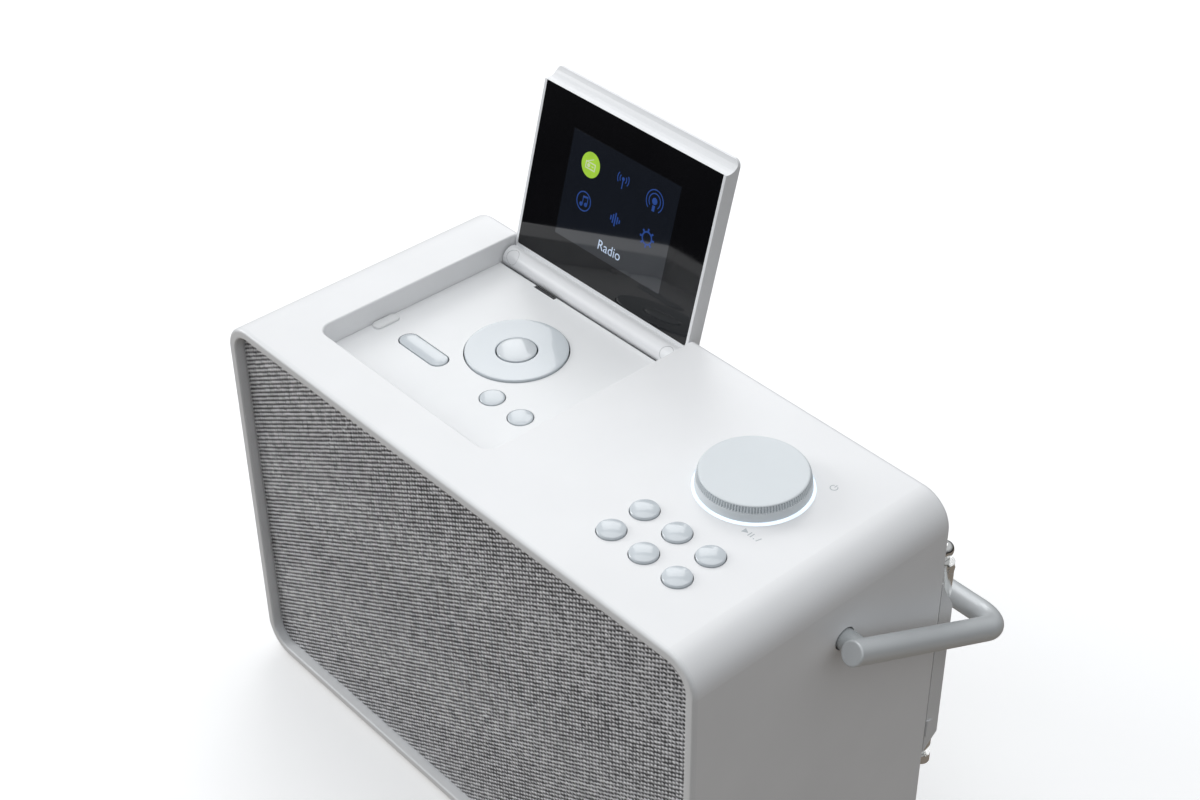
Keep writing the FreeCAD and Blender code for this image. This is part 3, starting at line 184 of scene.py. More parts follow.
# Where the camera stands and how it is turned, in metres and unit lengths.
viewing = {
    "place": (0.4962, -0.43793, 0.6817),
    "right": (0.6666, 0.7453, -0.0088),
    "up": (-0.4458, 0.4081, 0.7967),
    "lens": 62.2,
}
camera = bpy.data.objects.new("camera", bpy.data.cameras.new("camera"))
bpy.context.scene.collection.objects.link(camera)
camera.data.lens = viewing["lens"]
camera.data.sensor_width = 36
camera.data.clip_start = 0.01
right, up = Vector(viewing["right"]).normalized(), Vector(viewing["up"]).normalized()
back = right.cross(up).normalized()
up = back.cross(right)
turn = Matrix((right, up, back)).transposed().to_4x4()
camera.matrix_world = Matrix.Translation(viewing["place"]) @ turn
bpy.context.scene.camera = camera
bpy.context.scene.view_settings.view_transform = "Standard"

studio = {
    "aim": (0, 0, 0.12),
    "floorSize": 6.0,
    "floorTone": (0.86, 0.865, 0.87),
    "floorGlow": 0.24,
    "skyHigh": (0.62, 0.635, 0.65),
    "skyLow": (0.235, 0.205, 0.175),
    "skyEdge": (0.012, 0.012, 0.012),   # the dark band just under the horizon
    "overhead": {"place": (-0.25, 0.35, 1.9), "size": (1.5, 1.2), "power": 8.6},
    "backLeft": {"place": (-1.25, 1.15, 1.35), "size": (0.85, 1.1), "power": 6.0},
    "frontLeft": {"place": (-2.0, -1.15, 0.85), "size": (1.0, 1.3), "power": 26.0},
}


def makeStudio():
    half = studio["floorSize"] / 2
    mesh = bpy.data.meshes.new("floor")
    corners = [(-half, -half, 0), (half, -half, 0), (half, half, 0), (-half, half, 0)]
    mesh.from_pydata(corners, [], [(0, 1, 2, 3)])
    floor = bpy.data.objects.new("floor", mesh)
    bpy.context.scene.collection.objects.link(floor)
    material, tree, shader, place = startMaterial("floorPaper")
    paper = noise(tree, place, 260.0, 4.0)
    tree.links.new(mixColours(tree, paper, scaled(studio["floorTone"], 0.99), studio["floorTone"]),
                   shader.inputs["Base Color"])
    shader.inputs["Roughness"].default_value = 0.9
    shader.inputs["Emission Color"].default_value = (1, 1, 1, 1)
    shader.inputs["Emission Strength"].default_value = studio["floorGlow"]
    mesh.materials.append(material)
    floor.visible_glossy = False
    floor.visible_diffuse = False
    # the sky is bright above and dim below, with a dark band between that the glass mirrors
    world = bpy.data.worlds.new("studio")
    bpy.context.scene.world = world
    world.use_nodes = True
    tree = world.node_tree
    backdrop = next(n for n in tree.nodes if n.type == "BACKGROUND")
    direction = addNode(tree, "TexCoord").outputs["Generated"]
    height = addNode(tree, "SeparateXYZ", {"Vector": direction}).outputs["Z"]
    ramp = addNode(tree, "ValToRGB", {"Fac": mathNode(tree, "MULTIPLY_ADD", height, 0.5, 0.5)})
    ramp.color_ramp.elements[0].position = 0.28
    ramp.color_ramp.elements[1].position = 0.75
    for position in (0.33, 0.42):
        ramp.color_ramp.elements.new(position).color = (*studio["skyEdge"], 1)
    ramp.color_ramp.elements[0].color = (*studio["skyLow"], 1)
    ramp.color_ramp.elements[3].color = (*studio["skyHigh"], 1)
    tree.links.new(ramp.outputs["Color"], backdrop.inputs["Color"])
    for name in ("overhead", "backLeft", "frontLeft"):
        spec = studio[name]
        lamp = bpy.data.lights.new(name, "AREA")
        lamp.shape = "RECTANGLE"
        lamp.size, lamp.size_y = spec["size"]
        lamp.energy = spec["power"]
        holder = bpy.data.objects.new(name, lamp)
        holder.location = spec["place"]
        aim = Vector(studio["aim"]) - holder.location
        holder.rotation_euler = aim.to_track_quat("-Z", "Y").to_euler()
        bpy.context.scene.collection.objects.link(holder)


makeStudio()
print("camera, floor and lights placed")


white = (0.84, 0.845, 0.855)
finishes = {
    "shell_white": dict(colour=white, roughness=0.42, grain=0.55, depth=0.008, coat=0.12, coatRough=0.25,
                        tone=0.012),
    "bezel_white": dict(colour=(0.80, 0.81, 0.82), roughness=0.36, grain=0.5, depth=0.006, coat=0.15,
                        coatRough=0.2, tone=0.012),
    "tray_plastic": dict(colour=(0.84, 0.85, 0.86), roughness=0.38, grain=0.45, depth=0.006, coat=0.15,
                         coatRough=0.2, tone=0.012),
    "lid_white": dict(colour=(0.82, 0.83, 0.845), roughness=0.36, grain=0.5, depth=0.006, coat=0.2,
                      coatRough=0.2, tone=0.012),
    "button_grey": dict(colour=(0.58, 0.625, 0.66), roughness=0.24, grain=0.5, depth=0.001, coat=0.8,
                        coatRough=0.02, tone=0.012, roughSpread=0.02),
    "nav_centre": dict(colour=(0.64, 0.68, 0.71), roughness=0.22, grain=0.5, depth=0.001, coat=0.8,
                       coatRough=0.02, tone=0.012, roughSpread=0.02),
    "knob_grey": dict(colour=(0.66, 0.70, 0.725), roughness=0.36, grain=0.4, depth=0.008, coat=0.15,
                      coatRough=0.2, tone=0.02),
    "bumper": dict(colour=(0.76, 0.77, 0.775), roughness=0.55, grain=0.35, depth=0.010, tone=0.03),
    "back_plastic": dict(colour=(0.76, 0.765, 0.77), roughness=0.52, grain=0.32, depth=0.03, tone=0.02),
    "cover_plastic": dict(colour=(0.73, 0.735, 0.74), roughness=0.55, grain=0.30, depth=0.03, tone=0.02),
    "foot_rubber": dict(colour=(0.10, 0.10, 0.10), roughness=0.85, grain=0.25, depth=0.04, tone=0.15),
    "screw_steel": dict(colour=(0.55, 0.56, 0.57), roughness=0.34, metal=1.0, grain=0.15, depth=0.01,
                        tone=0.08),
    "handle_metal": dict(colour=(0.66, 0.685, 0.70), roughness=0.36, metal=0.25, grain=0.22, depth=0.006,
                         coat=0.1, coatRough=0.25, tone=0.02),
    "pin_metal": dict(colour=(0.60, 0.63, 0.64), roughness=0.32, metal=0.6, grain=0.2, depth=0.006,
                      tone=0.03),
    "bush_plastic": dict(colour=(0.30, 0.31, 0.31), roughness=0.5, grain=0.3, depth=0.01, tone=0.05),
    "inner_board": dict(colour=(0.035, 0.034, 0.032), roughness=0.8, grain=0.5, depth=0.03, tone=0.2,
                        stretch=(0.2, 1, 1)),
    "inner_plastic": dict(colour=(0.06, 0.06, 0.065), roughness=0.55, grain=0.3, depth=0.02, tone=0.1),
    "circuit_board": dict(colour=(0.02, 0.13, 0.06), roughness=0.35, grain=1.1, depth=0.02, coat=0.5,
                          tone=0.25, cloud=6.0),
    "speaker_metal": dict(colour=(0.20, 0.20, 0.21), roughness=0.45, metal=0.9, grain=0.3, depth=0.02,
                          tone=0.06),
    "cone_paper": dict(colour=(0.07, 0.066, 0.06), roughness=0.9, grain=0.6, depth=0.05, tone=0.3,
                       cloud=2.0),
    "magnet": dict(colour=(0.10, 0.10, 0.11), roughness=0.6, metal=0.4, grain=0.5, depth=0.02, tone=0.1),
    "battery": dict(colour=(0.05, 0.10, 0.20), roughness=0.4, grain=1.0, depth=0.01, tone=0.1),
    "socket_black": dict(colour=(0.03, 0.03, 0.032), roughness=0.45, grain=0.2, depth=0.01, tone=0.1),
    "socket_steel": dict(colour=(0.62, 0.62, 0.62), roughness=0.28, metal=1.0, grain=0.2, depth=0.006,
                         tone=0.04),
    "antenna_chrome": dict(colour=(0.78, 0.78, 0.77), roughness=0.13, metal=1.0, grain=0.35, depth=0.002,
                           tone=0.03, roughSpread=0.03, stretch=(1, 1, 0.06)),
    "screen_glass": dict(colour=(0.004, 0.004, 0.005), roughness=0.05, grain=3.0, depth=0.0004, tone=0.1,
                         roughSpread=0.015),
    "screen": dict(colour=(0.008, 0.010, 0.014), roughness=0.3, grain=0.4, depth=0.001, tone=0.1),
}
made = {slot: surfaceFinish(slot, **finish) for slot, finish in finishes.items()}
made["light_guide"] = glowFinish("light_guide", (0.78, 0.89, 1.0), 1.15, base=(0.22, 0.25, 0.28))


# each node arrives with its slot's name on its material
for node in nodes.values():
    for place in node.material_slots:
        slot = (place.material.name if place.material else "").split(".")[0]
        if slot in made:
            place.material = made[slot]
print("finishes on the CAD nodes:", len(made))


# Woven cloth over the front, lengths in mm. Each wave is turns per mm across and up, and its weight.
cloth = {
    "board": "grille_fabric",
    "cornerRadius": 9.7,
    "across": 432,          # grid steps over the width
    "upward": 300,
    "relief": 0.10,         # how far a yarn stands above a pit
    "edgeRoll": 0.75,       # how far the cloth turns back at its edge
    "waves": ((0.267, -0.470, 0.80), (0.257, 0.485, 0.42), (0.527, 0.0, 0.38), (0.0, 0.478, 0.12)),
    "wander": 0.7,          # how far the yarns stray from a straight line
    "edgeFade": 1.2,        # the weave's relief dies out over this width
    # colours along the weave's height: dark is painted shade in the pits between yarns, light a painted
    # highlight on the yarn tops, both mixed with the fibres' own tones
    "dark": (0.012, 0.012, 0.015),
    "middle": (0.45, 0.45, 0.47),
    "light": (0.94, 0.94, 0.96),
}


def clothMaterial():
    material, tree, shader, place = startMaterial("wovenCloth")
    wander = noise(tree, place, 330.0, 2.0, "Color")
    reach = cloth["wander"] * mm
    shift = addNode(tree, "VectorMath", {0: wander, 1: (0.5, 0.5, 0.5)}, operation="SUBTRACT").outputs[0]
    shift = addNode(tree, "VectorMath", {0: shift, "Scale": reach}, operation="SCALE").outputs[0]
    wavy = addNode(tree, "VectorMath", {0: place, 1: shift}, operation="ADD").outputs[0]
    total = None
    for alongX, alongZ, weight in cloth["waves"]:
        turns = (2 * math.pi * alongX / mm, 0.0, 2 * math.pi * alongZ / mm)
        angle = addNode(tree, "VectorMath", {0: wavy, 1: turns}, operation="DOT_PRODUCT").outputs["Value"]
        wave = mathNode(tree, "MULTIPLY", mathNode(tree, "COSINE", angle), -weight)
        total = wave if total is None else mathNode(tree, "ADD", total, wave)
    # single fibres lie along the yarn, light and dark ones mixed; the weave's relief joins them in the
    # colour below as painted shade and painted highlight
    yarnTurn = (0, math.radians(29), 0)
    twist = addNode(tree, "Mapping", {"Vector": place, "Rotation": yarnTurn, "Scale": (420, 900, 2600)})
    fibre = noise(tree, twist.outputs["Vector"], 1.0, 3.0)
    patch = noise(tree, place, 420.0, 3.0)
    streak = mathNode(tree, "MULTIPLY_ADD", fibre, 2.6, -1.3)
    speck = mathNode(tree, "MULTIPLY_ADD", patch, 2.2, -1.1)
    height = mathNode(tree, "ADD", mathNode(tree, "ADD", total, streak), speck)
    # the colour follows the height: pits painted near black as shade, yarn tops painted light as a
    # highlight, over the real light and dark fibres
    level = addNode(tree, "MapRange", {"Value": height, "From Min": -1.2, "From Max": 1.2})
    ramp = addNode(tree, "ValToRGB", {"Fac": level.outputs["Result"]})
    ramp.color_ramp.elements[0].position = 0.22
    ramp.color_ramp.elements[0].color = (*cloth["dark"], 1)
    ramp.color_ramp.elements[1].position = 0.95
    ramp.color_ramp.elements[1].color = (*cloth["light"], 1)
    middle = ramp.color_ramp.elements.new(0.55)
    middle.color = (*cloth["middle"], 1)
    tree.links.new(ramp.outputs["Color"], shader.inputs["Base Color"])
    bump = addNode(tree, "Bump", {"Height": height, "Distance": 0.16 * mm, "Strength": 1.0})
    tree.links.new(bump.outputs["Normal"], shader.inputs["Normal"])
    shader.inputs["Roughness"].default_value = 0.92
    shader.inputs["Sheen Weight"].default_value = 0.25
    shader.inputs["Sheen Roughness"].default_value = 0.5
    return material


def makeCloth():
    low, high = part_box(cloth["board"])
    middle = (low + high) / 2 / mm
    half = (high - low) / 2 / mm
    radius = cloth["cornerRadius"]
    v = np.linspace(-half.z, half.z, cloth["upward"] + 1)
    u = np.linspace(-1, 1, cloth["across"] + 1)
    # rows run out to the rounded corners
    into = np.clip(np.abs(v) - (half.z - radius), 0, radius)
    reach = half.x - radius + np.sqrt(radius ** 2 - into ** 2)
    x = reach[:, None] * u[None, :]
    z = np.repeat(v[:, None], len(u), axis=1)
    pastX, pastZ = np.abs(x) - (half.x - radius), np.abs(z) - (half.z - radius)
    aside = np.hypot(np.clip(pastX, 0, None), np.clip(pastZ, 0, None))
    straight = np.minimum(half.x - np.abs(x), half.z - np.abs(z))
    corner = (pastX > 0) & (pastZ > 0)
    toEdge = np.clip(np.where(corner, radius - aside, straight), 0, None)
    weave = np.zeros_like(x)
    for alongX, alongZ, weight in cloth["waves"]:
        weave -= weight * np.cos(2 * np.pi * (alongX * (x + middle.x) + alongZ * (z + middle.z)))
    weave /= sum(w for _, _, w in cloth["waves"])
    fade = np.clip(toEdge / cloth["edgeFade"], 0, 1)
    roll = cloth["edgeRoll"] * (1 - np.sqrt(np.clip(1 - (1 - fade) ** 2, 0, 1)))
    front = low.y / mm + cloth["relief"]
    y = front - cloth["relief"] * weave * fade + roll
    points = np.stack([x + middle.x, y, z + middle.z], axis=-1).reshape(-1, 3) * mm
    wide = len(u)
    rows, columns = np.meshgrid(np.arange(len(v) - 1), np.arange(wide - 1), indexing="ij")
    first = (rows * wide + columns).ravel()
    faces = np.stack([first, first + 1, first + wide + 1, first + wide], axis=-1)
    piece = addPiece("grille_cloth", points.tolist(), faces.tolist(), "cabinet", clothMaterial(),
                     replaces=("grille_fabric",), sharp=0)


makeCloth()
print("cloth stretched over the front")


# The volume knob and its ring of light, lengths in mm.
knob = {
    "node": "volume_knob",
    "foot": 22.4,
    "topEdge": 21.3,
    "height": 6.9,
    "ribs": {"count": 118, "depth": 1.0, "low": 4.05, "high": 6.45, "edge": 2.2},
    "steps": 1180,          # ten around each rib
    "footSoftness": 0.5,
    "lipSoftness": 0.6,
    "lean": 1.6,            # the side curves inward, most of all near the top
    "sideHeights": (2.6, 3.4, 3.9, 4.06, 4.4, 5.0, 5.6, 6.1),
}
lightRing = {"node": "knob_light_ring", "inner": 17.0, "edge": 0.35, "chamfer": 0.2, "steps": 160}


def makeKnob():
    foot, top, height = knob["foot"], knob["topEdge"], knob["height"]
    soft, lip = knob["footSoftness"], knob["lipSoftness"]
    outline = [(foot - 1.2, 0.0)] + arc(foot - soft, soft, soft, -90, 0, 4)
    outline += [(foot - (foot - top) * (h / height) ** knob["lean"], h) for h in knob["sideHeights"]]
    outline += arc(top - 0.75, height - lip, lip, 5, 90, 5)
    outline += [(top - 1.6, height), (top - 4.0, height), (8.0, height), (1.0, height)]
    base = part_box(knob["node"])[0].z
    points, faces = turned(outline, centreOf(knob["node"]), base, knob["steps"], ribs=knob["ribs"])
    addPiece("volume_knob_ribbed", points, faces, "volume", made["knob_grey"],
             replaces=(knob["node"],), sharp=50)


def makeLightRing():
    low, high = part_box(lightRing["node"])
    outer, thick = (high.x - low.x) / 2 / mm, (high.z - low.z) / mm
    inner, edge, chamfer = lightRing["inner"], lightRing["edge"], lightRing["chamfer"]
    outline = [(inner, 0.0), (outer, 0.0)] + arc(outer - edge, thick - edge, edge, 0, 90, 4)
    outline += [(inner + chamfer, thick), (inner, thick - chamfer)]
    points, faces = turned(outline, centreOf(lightRing["node"]), low.z, lightRing["steps"], hole=True)
    addPiece("light_ring", points, faces, "cabinet", made["light_guide"],
             replaces=(lightRing["node"],))


makeKnob()
makeLightRing()
print("knob turned")


# Buttons, lengths in mm.
buttons = {
    "presetRadius": 5.6, "presetDome": 0.62, "presetEdge": 0.5,
    "keyRadius": 5.2, "keyDome": 0.35, "keyEdge": 0.4,
    "rockerRadius": 4.2, "rockerHalf": 9.7, "rockerDome": 0.42,
    "bumperRadius": 2.6, "bumperHalf": 3.9, "bumperDome": 0.3, "bumperEdge": 0.5,
    "ringOuter": 21.9, "ringInner": 8.9, "ringDish": 0.45, "ringEdge": 0.4,
    "centreRadius": 8.4, "centreDome": 0.6, "centreEdge": 0.35,
}


# A cap with straight sides, a softened edge and a shallow dome.
def domedOutline(radius, height, dome, edge, rings=9):
    shoulder = height - dome
    outline = [(radius, 0.0), (radius, shoulder - edge)]
    outline += arc(radius - edge, shoulder - edge, edge, 0, 70, 5)[1:]
    start = outline[-1]
    for i in range(1, rings):
        share = i / rings
        outline.append((start[0] * (1 - share), start[1] + (height - start[1]) * (1 - (1 - share) ** 2)))
    return outline


def makeCap(name, node, body, slot, radius, dome, edge, steps=72, halfLength=0.0, along="x"):
    low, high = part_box(node)
    outline = domedOutline(radius, (high.z - low.z) / mm, dome, edge)
    points, faces = turned(outline, centreOf(node), low.z, steps, halfLength, along)
    addPiece(name, points, faces, body, made[slot], replaces=(node,), sharp=40)


def makeButtons():
    b = buttons
    for number in range(1, 7):
        makeCap(f"preset_dome_{number}", f"preset_button_{number}", f"preset_{number}", "button_grey",
                b["presetRadius"], b["presetDome"], b["presetEdge"])
    for name in ("menu", "back"):
        makeCap(name + "_cap", name + "_key", name, "button_grey",
                b["keyRadius"], b["keyDome"], b["keyEdge"])
    makeCap("source_cap", "source_rocker", "source", "button_grey",
            b["rockerRadius"], b["rockerDome"], b["keyEdge"], halfLength=b["rockerHalf"])
    makeCap("rest_bumper", "lid_rest_bumper", "cabinet", "bumper",
            b["bumperRadius"], b["bumperDome"], b["bumperEdge"], halfLength=b["bumperHalf"], along="y")
    makeCap("select_cap", "nav_centre_button", "nav_select", "nav_centre",
            b["centreRadius"], b["centreDome"], b["centreEdge"])


# The ring sinks towards its middle, so that a fingertip finds the centre button.
def makeNavRing():
    b = buttons
    low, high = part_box("nav_ring")
    height = (high.z - low.z) / mm
    inner, outer, dish, edge = b["ringInner"], b["ringOuter"], b["ringDish"], b["ringEdge"]
    outline = [(inner, 0.0), (outer, 0.0)] + arc(outer - edge, height - edge, edge, 0, 90, 5)
    for share in (0.1, 0.3, 0.5, 0.7, 0.9):
        radius = outer - edge + (inner + 2 * edge - outer) * share
        outline.append((radius, height - dish * math.sin(math.pi * share * 0.5)))
    outline += arc(inner + edge, height - dish - edge, edge, 90, 180, 5)
    points, faces = turned(outline, centreOf("nav_ring"), low.z, 144, hole=True)
    addPiece("nav_ring_dished", points, faces, "nav", made["button_grey"],
             replaces=("nav_ring",), sharp=40)


makeButtons()
makeNavRing()
print("buttons domed")


# The picture on the display, placed in mm from the glass's lower left corner.
display = {
    "glass": "display_glass",
    "lift": 0.03,           # the picture's height above the glass
    "thick": 0.05,
    "litLow": (21.4, 14.4),
    "litHigh": (86.9, 62.7),
    "columns": (34.7, 54.6, 74.2),
    "upperRow": 51.0,
    "lowerRow": 34.4,
    "fieldThick": 0.02,
    "iconLift": 0.03,
    "pictogramLift": 0.09,
    "word": "Radio",
    "wordPlace": (54.6, 18.2),
    "wordHeight": 6.2,
    "wordLift": 0.06,
    "wordThick": 0.02,
}


# A shape is its closed outline and whether it is a band, whose two long sides run next to each other.
def plainShape(*corners):
    return list(corners), False


def discShape(centre, radius, steps=40):
    angles = [2 * math.pi * i / steps for i in range(steps)]
    return [(centre[0] + radius * math.cos(a), centre[1] + radius * math.sin(a)) for a in angles], False


def barShape(start, end, width):
    start, end = Vector(start), Vector(end)
    along = end - start
    side = Vector((-along.y, along.x)).normalized() * width / 2
    return plainShape(tuple(start - side), tuple(end - side), tuple(end + side), tuple(start + side))


def bowShape(centre, radius, width, start, end, steps=20):
    angles = [math.radians(start + (end - start) * i / steps) for i in range(steps + 1)]
    outside, inside = radius + width / 2, radius - width / 2
    far = [(centre[0] + outside * math.cos(a), centre[1] + outside * math.sin(a)) for a in angles]
    near = [(centre[0] + inside * math.cos(a), centre[1] + inside * math.sin(a)) for a in angles]
    return far + near[::-1], True


# Flat marks as thin plates, laid in mm in a plane given as origin, across, upward and normal.
def makeMarks(name, shapes, plane, body, material, thick):
    origin, across, upward, normal = plane
    points, faces = [], []
    for outline, isBand in shapes:
        count, first = len(outline), len(points)
        for level in (0.0, thick):
            points += [origin + (across * a + upward * b + normal * level) * mm for a, b in outline]
        fills = [tuple(range(count))]
        if isBand:
            fills = [(i, i + 1, count - 2 - i, count - 1 - i) for i in range(count // 2 - 1)]
        for fill in fills:
            faces.append(tuple(first + count + i for i in fill))
            faces.append(tuple(first + i for i in reversed(fill)))
        for i in range(count):
            j = (i + 1) % count
            faces.append((first + i, first + j, first + count + j, first + count + i))
    return addPiece(name, points, faces, body, material, sharp=30)


# The plane of the glass, its origin at the lower left corner of the face that is looked at.
def glassPlane():
    mesh = nodes[display["glass"]].data
    areas = {}
    for face in mesh.polygons:
        if face.normal.y < -0.3:
            key = tuple(round(c, 4) for c in face.normal)
            areas[key] = areas.get(key, 0) + face.area
    normal = Vector(max(areas, key=areas.get)).normalized()
    across = Vector((1, 0, 0))
    upward = normal.cross(across)
    places = [v.co for v in mesh.vertices]
    origin = (across * min(p.dot(across) for p in places) + upward * min(p.dot(upward) for p in places)
              + normal * (max(p.dot(normal) for p in places) + display["lift"] * mm))
    return origin, across, upward, normal


def radioIcon(x, y):
    case = [barShape((x - 3.0, y + h), (x + 3.0, y + h), 0.5) for h in (-1.9, 0.9)]
    case += [barShape((x + w, y - 1.7), (x + w, y + 0.8), 0.5) for w in (-2.8, 2.8)]
    speaker = discShape((x - 1.1, y - 0.5), 0.85, 20)
    scale = barShape((x + 0.7, y - 0.5), (x + 1.9, y - 0.5), 0.4)
    rod = barShape((x - 2.2, y + 1.1), (x + 1.4, y + 2.9), 0.35)
    return case + [speaker, scale, rod]


def mastIcon(x, y):
    tip = (x, y + 1.8)
    shapes = [barShape((x, y - 2.6), (x, y + 1.4), 0.5), discShape(tip, 0.8, 20)]
    for radius, spread in ((2.0, 40), (3.4, 38)):
        shapes += [bowShape(tip, radius, 0.45, turn - spread, turn + spread) for turn in (0, 180)]
    return shapes


def wavesIcon(x, y):
    return [bowShape((x, y), 4.9, 0.45, -50, 230), bowShape((x, y), 3.3, 0.45, -45, 225),
            discShape((x, y), 1.5, 24), barShape((x, y - 4.4), (x, y - 1.9), 1.5)]


def noteIcon(x, y):
    return [bowShape((x, y), 4.2, 0.5, 0, 360, 48),
            discShape((x - 1.3, y - 1.6), 0.95, 20),
            discShape((x + 1.5, y - 1.1), 0.95, 20),
            barShape((x - 0.55, y - 1.6), (x - 0.55, y + 1.8), 0.4),
            barShape((x + 2.25, y - 1.1), (x + 2.25, y + 2.3), 0.4),
            barShape((x - 0.7, y + 1.9), (x + 2.4, y + 2.4), 0.8)]


def levelsIcon(x, y):
    heights = (1.0, 2.0, 3.0, 1.6, 0.8)
    places = [x + 1.3 * (k - 2) for k in range(len(heights))]
    return [barShape((place, y - h), (place, y + h), 0.7) for place, h in zip(places, heights)]


def gearIcon(x, y):
    middle = Vector((x, y))
    shapes = [bowShape((x, y), 2.7, 0.7, 0, 360, 40)]
    for k in range(8):
        turn = math.radians(45 * k)
        reach = Vector((math.cos(turn), math.sin(turn)))
        shapes.append(barShape(tuple(middle + reach * 2.9), tuple(middle + reach * 4.2), 0.9))
    return shapes


def makeWord(plane, material):
    origin, across, upward, normal = plane
    text = bpy.data.curves.new("screen_word", "FONT")
    text.body = display["word"]
    text.size = display["wordHeight"] * mm
    text.extrude = display["wordThick"] * mm
    text.align_x = "CENTER"
    text.materials.append(material)
    piece = bpy.data.objects.new("screen_word", text)
    bpy.context.scene.collection.objects.link(piece)
    a, b = display["wordPlace"]
    spot = origin + (across * a + upward * b + normal * display["wordLift"]) * mm
    piece.matrix_world = Matrix.Translation(spot) @ Matrix((across, upward, normal)).transposed().to_4x4()
    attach(piece, "lid")


def makePicture():
    origin, across, upward, normal = plane = glassPlane()
    black = (0.006, 0.007, 0.009)
    field = glowFinish("screenField", (0.30, 0.42, 0.75), 0.010, black, roughness=0.06, coat=1.0)
    green = glowFinish("screenGreen", (0.42, 0.72, 0.06), 0.85, black, roughness=0.06)
    pale = glowFinish("screenPale", (0.75, 0.85, 0.55), 0.75, black, roughness=0.06)
    blue = glowFinish("screenBlue", (0.035, 0.10, 0.42), 0.60, black, roughness=0.06)
    letters = glowFinish("screenLetters", (0.62, 0.75, 0.95), 0.80, black, roughness=0.06)
    (lowA, lowB), (highA, highB) = display["litLow"], display["litHigh"]
    lit = plainShape((lowA, lowB), (highA, lowB), (highA, highB), (lowA, highB))
    makeMarks("screen_field", [lit], plane, "lid", field, display["fieldThick"])
    near = (origin + normal * display["iconLift"] * mm, across, upward, normal)
    nearer = (origin + normal * display["pictogramLift"] * mm, across, upward, normal)
    left, centre, rightmost = display["columns"]
    top, bottom = display["upperRow"], display["lowerRow"]
    thick = display["thick"]
    makeMarks("icon_chosen", [discShape((left, top), 5.6)], near, "lid", green, thick)
    makeMarks("icon_chosen_set", radioIcon(left, top), nearer, "lid", pale, thick)
    for name, shapes in (("icon_mast", mastIcon(centre, top)), ("icon_waves", wavesIcon(rightmost, top)),
                         ("icon_note", noteIcon(left, bottom)), ("icon_levels", levelsIcon(centre, bottom)),
                         ("icon_gear", gearIcon(rightmost, bottom))):
        makeMarks(name, shapes, near, "lid", blue, thick)
    makeWord(plane, letters)


makePicture()
print("picture laid on the display")


# Small things at the hinge, lengths in mm.
hingeDetail = {
    "seamWidth": 0.16,
    "seamSteps": 64,
    # the ribbon is a black sheet that fills the notch, standing for the cable and for painted shade in the
    # notch
    "ribbonHalf": 6.6,
    "ribbonMiddle": -77.5,
    "ribbonColumns": 12,
    "ribbonLine": ((-1.55, -3.2), (-1.5, -1.6), (-1.3, -0.7), (-0.6, -0.3), (0.3, -0.35), (1.0, -1.0),
                   (1.4, -2.6)),
    "ribbonThick": 0.25,
    "trayRear": 37.97,      # where the notch in the tray starts
}


# A round wire along a closed run of points.
def closedLine(points, radius, sides=8):
    count = len(points)
    verts, faces = [], []
    for i, point in enumerate(points):
        along = (points[(i + 1) % count] - points[i - 1]).normalized()
        side = along.cross(Vector((0, 0.6, 0.8))).normalized()
        other = along.cross(side)
        for k in range(sides):
            angle = 2 * math.pi * k / sides
            verts.append(point + (side * math.cos(angle) + other * math.sin(angle)) * radius)
    for i in range(count):
        j = (i + 1) % count
        for k in range(sides):
            n = (k + 1) % sides
            faces.append((i * sides + k, i * sides + n, j * sides + n, j * sides + k))
    return verts, faces


# The rims of the two plugs, as thin grey lines that follow the roll: painted shade in the narrow gap
# between each plug and the roll.
def makePlugSeams():
    axis = centreOf("hinge_pins")
    places = [v.co for v in nodes["hinge_plugs"].data.vertices]
    radii = [math.hypot(p.y - axis.y, p.z - axis.z) for p in places]
    rollRadius = max(radii)
    outer = [p for p, r in zip(places, radii) if r > rollRadius - 0.02 * mm]
    # grey painted shade for the gap, not a colour of the plugs
    seam = surfaceFinish("paintedGapShade", (0.36, 0.37, 0.38), roughness=0.6, grain=0.3, depth=0.002, tone=0.05)
    for side in ("left", "right"):
        face = [p for p in outer if (p.x < axis.x) == (side == "left")]
        middleX = (min(p.x for p in face) + max(p.x for p in face)) / 2
        radius = (max(p.x for p in face) - min(p.x for p in face)) / 2 + 0.06 * mm
        outY = sum(p.y for p in face) / len(face) - axis.y
        outZ = sum(p.z for p in face) / len(face) - axis.z
        out = Vector((0, outY, outZ)).normalized()
        over = Vector((1, 0, 0)).cross(out)
        line = []
        for k in range(hingeDetail["seamSteps"]):
            angle = 2 * math.pi * k / hingeDetail["seamSteps"]
            lean = radius * math.sin(angle) / rollRadius
            line.append(Vector((middleX + radius * math.cos(angle), axis.y, axis.z))
                        + (out * math.sqrt(1 - lean ** 2) + over * lean) * rollRadius)
        points, faces = closedLine(line, hingeDetail["seamWidth"] / 2 * mm)
        addPiece(f"plug_seam_{side}", points, faces, "lid", seam, sharp=0)
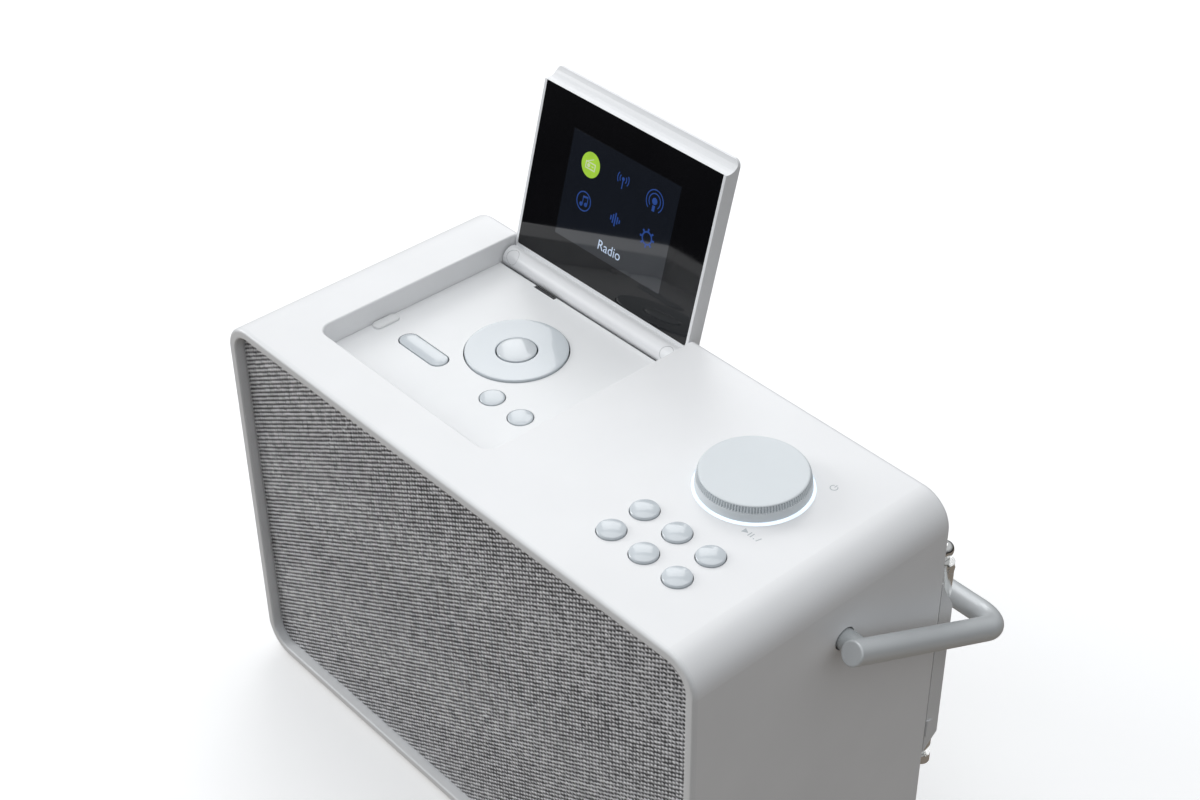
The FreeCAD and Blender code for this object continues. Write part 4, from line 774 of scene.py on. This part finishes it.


# The display's flat cable, seen in its notch, laid to fill the notch so the opening reads black: partly a
# cable and partly painted shade of the notch's hollow.
def makeRibbonNotchShade():
    d = hingeDetail
    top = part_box("lid_rest_bumper")[0].z
    rear = d["trayRear"] * mm
    half, middle = d["ribbonHalf"], d["ribbonMiddle"]
    columns = d["ribbonColumns"]
    points = []
    for shift in (0.0, -d["ribbonThick"]):
        for y, z in d["ribbonLine"]:
            for k in range(columns + 1):
                x = middle - half + 2 * half * k / columns
                points.append((x * mm, rear + y * mm, top + (z + shift) * mm))
    rows, wide = len(d["ribbonLine"]), columns + 1
    faces = []
    for layer in (0, 1):
        for r in range(rows - 1):
            for k in range(columns):
                a = layer * rows * wide + r * wide + k
                quad = (a, a + 1, a + wide + 1, a + wide)
                faces.append(quad if layer == 0 else tuple(reversed(quad)))
    second = rows * wide
    rim = list(range(wide)) + [r * wide + columns for r in range(1, rows)]
    rim += [(rows - 1) * wide + k for k in reversed(range(columns))]
    rim += [r * wide for r in reversed(range(1, rows - 1))]
    for i, a in enumerate(rim):
        b = rim[(i + 1) % len(rim)]
        faces.append((b, a, a + second, b + second))
    addPiece("display_ribbon_notch_shade", points, faces, "cabinet", made["socket_black"], sharp=60)


makePlugSeams()
makeRibbonNotchShade()
print("hinge detail made")


# Marks beside the knob, measured in mm from its axis.
printed = {"play": (19.5, -20.8), "power": (21.3, 21.1), "thick": 0.03, "stroke": 0.45, "powerStroke": 0.4}


def makePrint():
    ink = surfaceFinish("printedMark", (0.50, 0.53, 0.55), roughness=0.5, grain=0.3, depth=0.004, tone=0.05)
    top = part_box("cabinet_shell")[1].z
    plane = (Vector((0, 0, top)), Vector((1, 0, 0)), Vector((0, 1, 0)), Vector((0, 0, 1)))
    axis = centreOf(knob["node"]) / mm
    thick, stroke, thin = printed["thick"], printed["stroke"], printed["powerStroke"]
    a, b = axis.x + printed["play"][0], axis.y + printed["play"][1]
    play = [plainShape((a - 4.0, b - 1.3), (a - 1.6, b), (a - 4.0, b + 1.3)),
            barShape((a - 0.8, b - 1.2), (a - 0.8, b + 1.2), stroke),
            barShape((a + 0.4, b - 1.2), (a + 0.4, b + 1.2), stroke),
            discShape((a + 2.0, b - 0.9), 0.3, 12),
            barShape((a + 3.4, b - 1.2), (a + 4.0, b + 1.3), stroke)]
    makeMarks("play_mark", play, plane, "cabinet", ink, thick)
    a, b = axis.x + printed["power"][0], axis.y + printed["power"][1]
    power = [bowShape((a, b), 1.45, thin, -240, 60, 24), barShape((a, b + 0.3), (a, b + 1.9), thin)]
    makeMarks("power_mark", power, plane, "cabinet", ink, thick)


makePrint()
print("marks printed")
